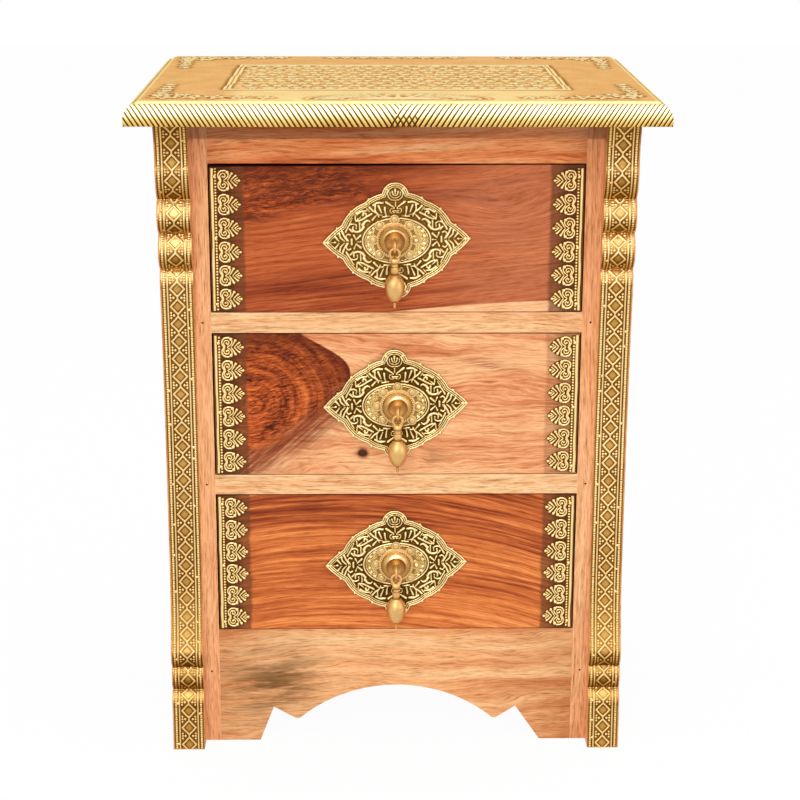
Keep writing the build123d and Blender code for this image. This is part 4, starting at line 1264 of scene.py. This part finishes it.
class CHEST_OT_top(bpy.types.Operator):
    """Embossed brass over the top, with its rope-fluted lip"""

    bl_idname = "chest.top"
    bl_label = "Top"

    def execute(self, context):
        look = context.scene.chest_brass
        low, high = node_box("top_brass_sheet")
        radius, step, full = 14.0, 1.5, 0.5
        flat_x, flat_front = high[0] - radius, low[1] + radius
        material = brass_material("embossed brass top", TOP_TONES, scratch_scale=500)
        lip_material = brass_material("embossed brass lip", LIP_TONES)
        relief = field_relief(flat_x, flat_front, high[1], 1.25, full)
        x, y = np.meshgrid(relief.x, relief.y)
        wide = np.abs(x)
        panel = share_of(wide, PANEL_X + 3, PANEL_X + 1) * share_of(y, PANEL_BACK - 1, PANEL_BACK - 3)
        panel *= share_of(y, PANEL_FRONT + 1, PANEL_FRONT + 3)
        front_strip = share_of(y, PANEL_FRONT - 1, PANEL_FRONT - 4) * share_of(wide, 150, 130)
        recess = 0.52 - 0.22 * np.maximum(panel, front_strip) + 1.1 * (relief.recess(full, 0.5, 2.4) - 0.5)
        work = Work()

        def flat(x, y, height):
            return np.stack([x, y, high[2] - full * 1.3 + height], -1)
        work.sheet(relief, flat, np.clip(recess, 0, 1), back=-1.6)
        field = work.finish("brass_top_field", material, "carcass", "embossed_brass")

        deep = look.rope_relief / MM
        depth = radius * math.pi / 2 + (high[2] - step - radius - low[2])

        def round_off(y, height):
            """Outward reach and level on the round, from the distance down it."""
            angle = np.clip(y / radius, 0, math.pi / 2)
            out = radius + height - deep
            level = high[2] - step - radius + out * np.cos(angle)
            level = level + (step - full) * share_of(y, 6, 0) ** 2
            return out * np.sin(angle), level - np.clip(y - radius * math.pi / 2, 0, None)

        # cut holds the patina of the cuts together with the painted shade and highlight of the lip
        relief, cut = rope_relief(flat_x + radius, depth, 0.38, deep)

        def front(x, y, height):
            reach, level = round_off(y, height)
            corner = flat_x + reach
            return np.stack([-np.clip(x, -corner, corner), flat_front - reach, level], -1)

        def mitre(relief, end, way):
            """Part of the grid on this side of the mitre."""
            corner = end + radius * np.sin(np.clip(relief.y / radius, 0, math.pi / 2))
            return way * relief.x[None, :] < corner[:, None] + 1.2 * relief.cell
        both = mitre(relief, flat_x, 1) & mitre(relief, flat_x, -1)
        pieces = [("front", relief, cut, front, both)]
        span = high[1] - low[1]
        # the side lips too: patina of the cuts together with painted shade and highlight
        relief, cut = rope_relief(span, depth, 0.42, deep, both=False)
        for side, way in SIDES.items():
            def edge(x, y, height, way=way):
                reach, level = round_off(y, height)
                along = high[1] - np.minimum(x, high[1] - flat_front + reach)
                return np.stack([way * (flat_x + reach), along, level], -1)
            pieces.append((side, relief, cut, edge, mitre(relief, high[1] - flat_front, 1)))
        for side, relief, cut, place, kept in pieces:
            work = Work()
            work.sheet(relief, place, cut, back=-0.6, kept=kept)
            if side == "right":
                work.faces = [face[::-1] for face in work.faces]
            work.finish(f"brass_lip_{side}", lip_material, "carcass", "embossed_brass")
        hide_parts("top_brass_sheet")
        return {"FINISHED"}


# ---------------------------------------------------------------- woods and castings
class CHEST_OT_woods(bpy.types.Operator):
    """Wood finishes of the carcass and the drawers"""

    bl_idname = "chest.woods"
    bl_label = "Woods"

    def execute(self, context):
        look = context.scene.chest_wood
        rails = plain_wood("frame wood rails", "X", paint(255, 216, 166), paint(250, 184, 128), 0.6)
        dress(["upper_drawer_rail", "lower_drawer_rail", "back_top_rail", "back_bottom_rail"], rails)
        dress(["top_rail"], top_rail_wood())
        # the stiles and front posts take the painted shadow under the top
        stiles = plain_wood("frame wood stiles", "Z", look.pale, paint(240, 160, 106), 0.6, top_shadow=True)
        dress(["stile_left", "stile_right", "front_post_left", "front_post_right"], stiles)
        brown, tan = paint(196, 112, 66), paint(170, 118, 76)
        sides = plain_wood("frame wood sides", "Z", look.honey, brown, 0.7)
        dress([f"{part}_{side}" for part in ("back_post", "side_panel") for side in SIDES], sides)
        side_rails = plain_wood("frame wood side rails", "Y", look.honey, brown, 0.6)
        dress([f"side_{part}_rail_{side}" for part in ("top", "bottom") for side in SIDES], side_rails)
        inner = plain_wood("inner wood", "Y", look.inner, tan, polish=0.6)
        dress(["drawer_runners_left", "drawer_runners_right", "drawer_kickers", "top_board"], inner)
        dress([f"{drawer}_drawer_side_{side}" for drawer in DRAWERS for side in SIDES], inner)
        cross = plain_wood("inner wood crosswise", "X", look.inner, tan, polish=0.6)
        dress([f"{drawer}_drawer_{part}" for drawer in DRAWERS for part in ("back", "bottom")], cross)
        dress(["back_panel"], cross)
        dress(["pin_plugs"], plain_wood("wood stopping", "X", look.dark, look.black, 0.3, polish=0.7))
        dress(["apron"], apron_wood())
        for drawer, make in zip(DRAWERS, (upper_front_wood, middle_front_wood, lower_front_wood)):
            node = f"{drawer}_drawer_front"
            low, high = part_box(node)
            dress([node], make(low[2], high[2]))
        return {"FINISHED"}


# a drop in millimetres, (radius, fall below the middle of the eye): pin, olive, bead, neck, flange, tang
DROP_PROFILE = (
    (0.05, 48.3), (0.7, 48.3), (1.15, 47.8), (1.15, 43.0), (1.7, 42.6), (3.4, 42.1), (4.6, 41.0), (5.6, 39.7),
    (7.0, 37.3), (7.8, 35.2), (8.4, 33.0), (8.75, 30.9), (8.82, 28.8), (8.6, 26.7), (8.07, 24.6), (7.3, 22.9),
    (6.2, 21.2), (4.8, 19.4), (3.5, 18.3), (2.8, 17.7), (3.2, 17.0), (3.6, 15.8), (3.65, 14.2), (3.3, 12.0),
    (2.9, 11.2), (2.8, 10.0), (3.0, 8.4), (3.6, 7.9), (3.75, 7.0), (3.75, 6.3), (4.3, 4.7), (4.7, 3.3),
    (0.05, 3.3))
# its eye, (radius, distance from the middle of its thickness)
EYE_PROFILE = ((5.5, 0.8), (5.5, -0.8), (5.0, -1.3), (3.6, -1.3), (3.2, -0.9), (3.2, 0.9), (3.6, 1.3),
               (5.0, 1.3), (5.5, 0.8))


class CHEST_OT_castings(bpy.types.Operator):
    """Staples, and the hanging drops with an olive and a pin under a flat eye"""

    bl_idname = "chest.castings"
    bl_label = "Castings"

    def execute(self, context):
        levels = []
        for drawer in DRAWERS:
            low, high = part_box(f"{drawer}_pull_rosette")
            levels.append((low[2] + high[2]) / 2)
        material = cast_material(levels[0] - levels[1], levels[2])
        dress([f"{drawer}_pull_staple" for drawer in DRAWERS], material)
        for drawer, node, _, high, middle in pull_nodes("drop"):
            eye = high[2] - EYE_PROFILE[0][0]
            work = Work()
            work.turned([(radius, middle[1] + y) for radius, y in EYE_PROFILE], 0, (middle[0], eye), 48)
            work.turned([(radius, eye - fall) for radius, fall in DROP_PROFILE], 0, middle[:2], 48)
            # the olive and its pin stand upright, and their top is flattened under the eye
            x, z, y = work.points[-1].T
            flat = np.interp(eye - z, (3.3, 6.3), (0.28, 1.0))
            work.points[-1] = np.stack([x, middle[1] + (y - middle[1]) * flat, z], -1)
            work.finish(f"drop_{drawer}", material, f"{drawer}_drop", "cast_brass", node)
        return {"FINISHED"}


# ---------------------------------------------------------------- stage
FLOOR_HALF = 6.0
LAMP_TARGET = (0, 0, 0.3)


def lamp(name, place, size, power):
    """Soft lamp aimed at the middle of the chest."""
    light = bpy.data.lights.new(name, "AREA")
    light.shape = "RECTANGLE"
    light.size, light.size_y = size
    light.energy = power
    lamp_object = bpy.data.objects.new(name, light)
    lamp_object.location = place
    lamp_object.rotation_euler = (Vector(LAMP_TARGET) - Vector(place)).to_track_quat("-Z", "Y").to_euler()
    bpy.context.scene.collection.objects.link(lamp_object)


class CHEST_OT_stage(bpy.types.Operator):
    """Camera, lamps, room light and a pale floor"""

    bl_idname = "chest.stage"
    bl_label = "Stage"

    def execute(self, context):
        look = context.scene.chest_stage
        scene = context.scene
        data = bpy.data.cameras.new("camera")
        data.lens = look.camera_lens
        data.sensor_width = 36
        camera = bpy.data.objects.new("camera", data)
        scene.collection.objects.link(camera)
        yaw, pitch, roll = look.camera_yaw, look.camera_pitch, look.camera_roll
        ahead = Vector((math.sin(yaw) * math.cos(pitch), math.cos(yaw) * math.cos(pitch), -math.sin(pitch)))
        level = Vector((math.cos(yaw), -math.sin(yaw), 0))
        right = level * math.cos(roll) + level.cross(ahead) * math.sin(roll)
        up = right.cross(ahead)
        turn = Matrix((right, up, -ahead)).transposed().to_4x4()
        camera.matrix_world = Matrix.Translation(look.camera_place) @ turn
        scene.camera = camera

        lamp("key", (-0.7, -2.6, 1.9), (1.6, 1.6), look.key_power)
        lamp("top", (0.1, -0.5, 2.4), (1.8, 1.8), look.top_power)
        lamp("fill", (2.2, -1.6, 1.0), (1.4, 1.8), look.fill_power)

        world = bpy.data.worlds.new("room")
        scene.world = world
        world.use_nodes = True
        world.node_tree.nodes.clear()
        nodes = Nodes(world.node_tree)
        room, white = (nodes.node("ShaderNodeBackground", None, {"Color": (1, 1, 1), "Strength": strength})
                       for strength in (look.room_light, 1.0))
        mixed = nodes.node("ShaderNodeMixShader", None, {0: nodes.pale_rays(), 1: room, 2: white})
        nodes.node("ShaderNodeOutputWorld", None, {0: mixed})

        mesh = bpy.data.meshes.new("floor")
        corners = [(x * FLOOR_HALF, y * FLOOR_HALF, 0) for x, y in ((-1, -1), (1, -1), (1, 1), (-1, 1))]
        mesh.from_pydata(corners, [], [(0, 1, 2, 3)])
        floor = bpy.data.objects.new("floor", mesh)
        scene.collection.objects.link(floor)
        shader = Shader("pale floor", roughness=0.7)
        shader.surface.inputs["Base Color"].default_value = (*look.floor, 1)
        glow = shader.node("ShaderNodeEmission", None, {"Color": (1, 1, 1), "Strength": 1.0})
        base = Socket(shader, shader.surface.outputs[0])
        mixed = shader.node("ShaderNodeMixShader", None, {0: shader.pale_rays() * 0.965, 1: base, 2: glow})
        shader.tree.links.new(mixed.link, shader.tree.nodes["Material Output"].inputs["Surface"])
        mesh.materials.append(shader.material)
        scene.view_settings.view_transform = "Standard"
        return {"FINISHED"}


class CHEST_PT_panel(bpy.types.Panel):
    """Buttons for the pieces of the chest"""

    bl_idname = "CHEST_PT_panel"
    bl_label = "Chest"
    bl_space_type = "VIEW_3D"
    bl_region_type = "UI"
    bl_category = "Chest"

    def draw(self, context):
        for operator in OPERATORS:
            self.layout.operator(operator.bl_idname)
        for group in GROUPS:
            settings = getattr(context.scene, group)
            for name in settings.bl_rna.properties.keys():
                if name not in ("rna_type", "name"):
                    self.layout.prop(settings, name)


GROUPS = {"chest_brass": ChestBrassSettings, "chest_wood": ChestWoodSettings,
          "chest_stage": ChestStageSettings}
OPERATORS = (CHEST_OT_stage, CHEST_OT_woods, CHEST_OT_castings, CHEST_OT_top, CHEST_OT_post_strips,
             CHEST_OT_palmette_trims, CHEST_OT_backplates, CHEST_OT_rosettes)


def register():
    for group in (*GROUPS.values(), *OPERATORS, CHEST_PT_panel):
        bpy.utils.register_class(group)
    for name, group in GROUPS.items():
        setattr(bpy.types.Scene, name, PointerProperty(type=group))


def unregister():
    for name in GROUPS:
        delattr(bpy.types.Scene, name)
    for group in (CHEST_PT_panel, *reversed(OPERATORS), *GROUPS.values()):
        bpy.utils.unregister_class(group)


def main():
    register()
    bpy.ops.chest.stage()
    bpy.ops.chest.woods()
    bpy.ops.chest.castings()
    bpy.ops.chest.top()
    bpy.ops.chest.post_strips()
    bpy.ops.chest.palmette_trims()
    bpy.ops.chest.backplates()
    bpy.ops.chest.rosettes()


if __name__ == "__main__":
    main()
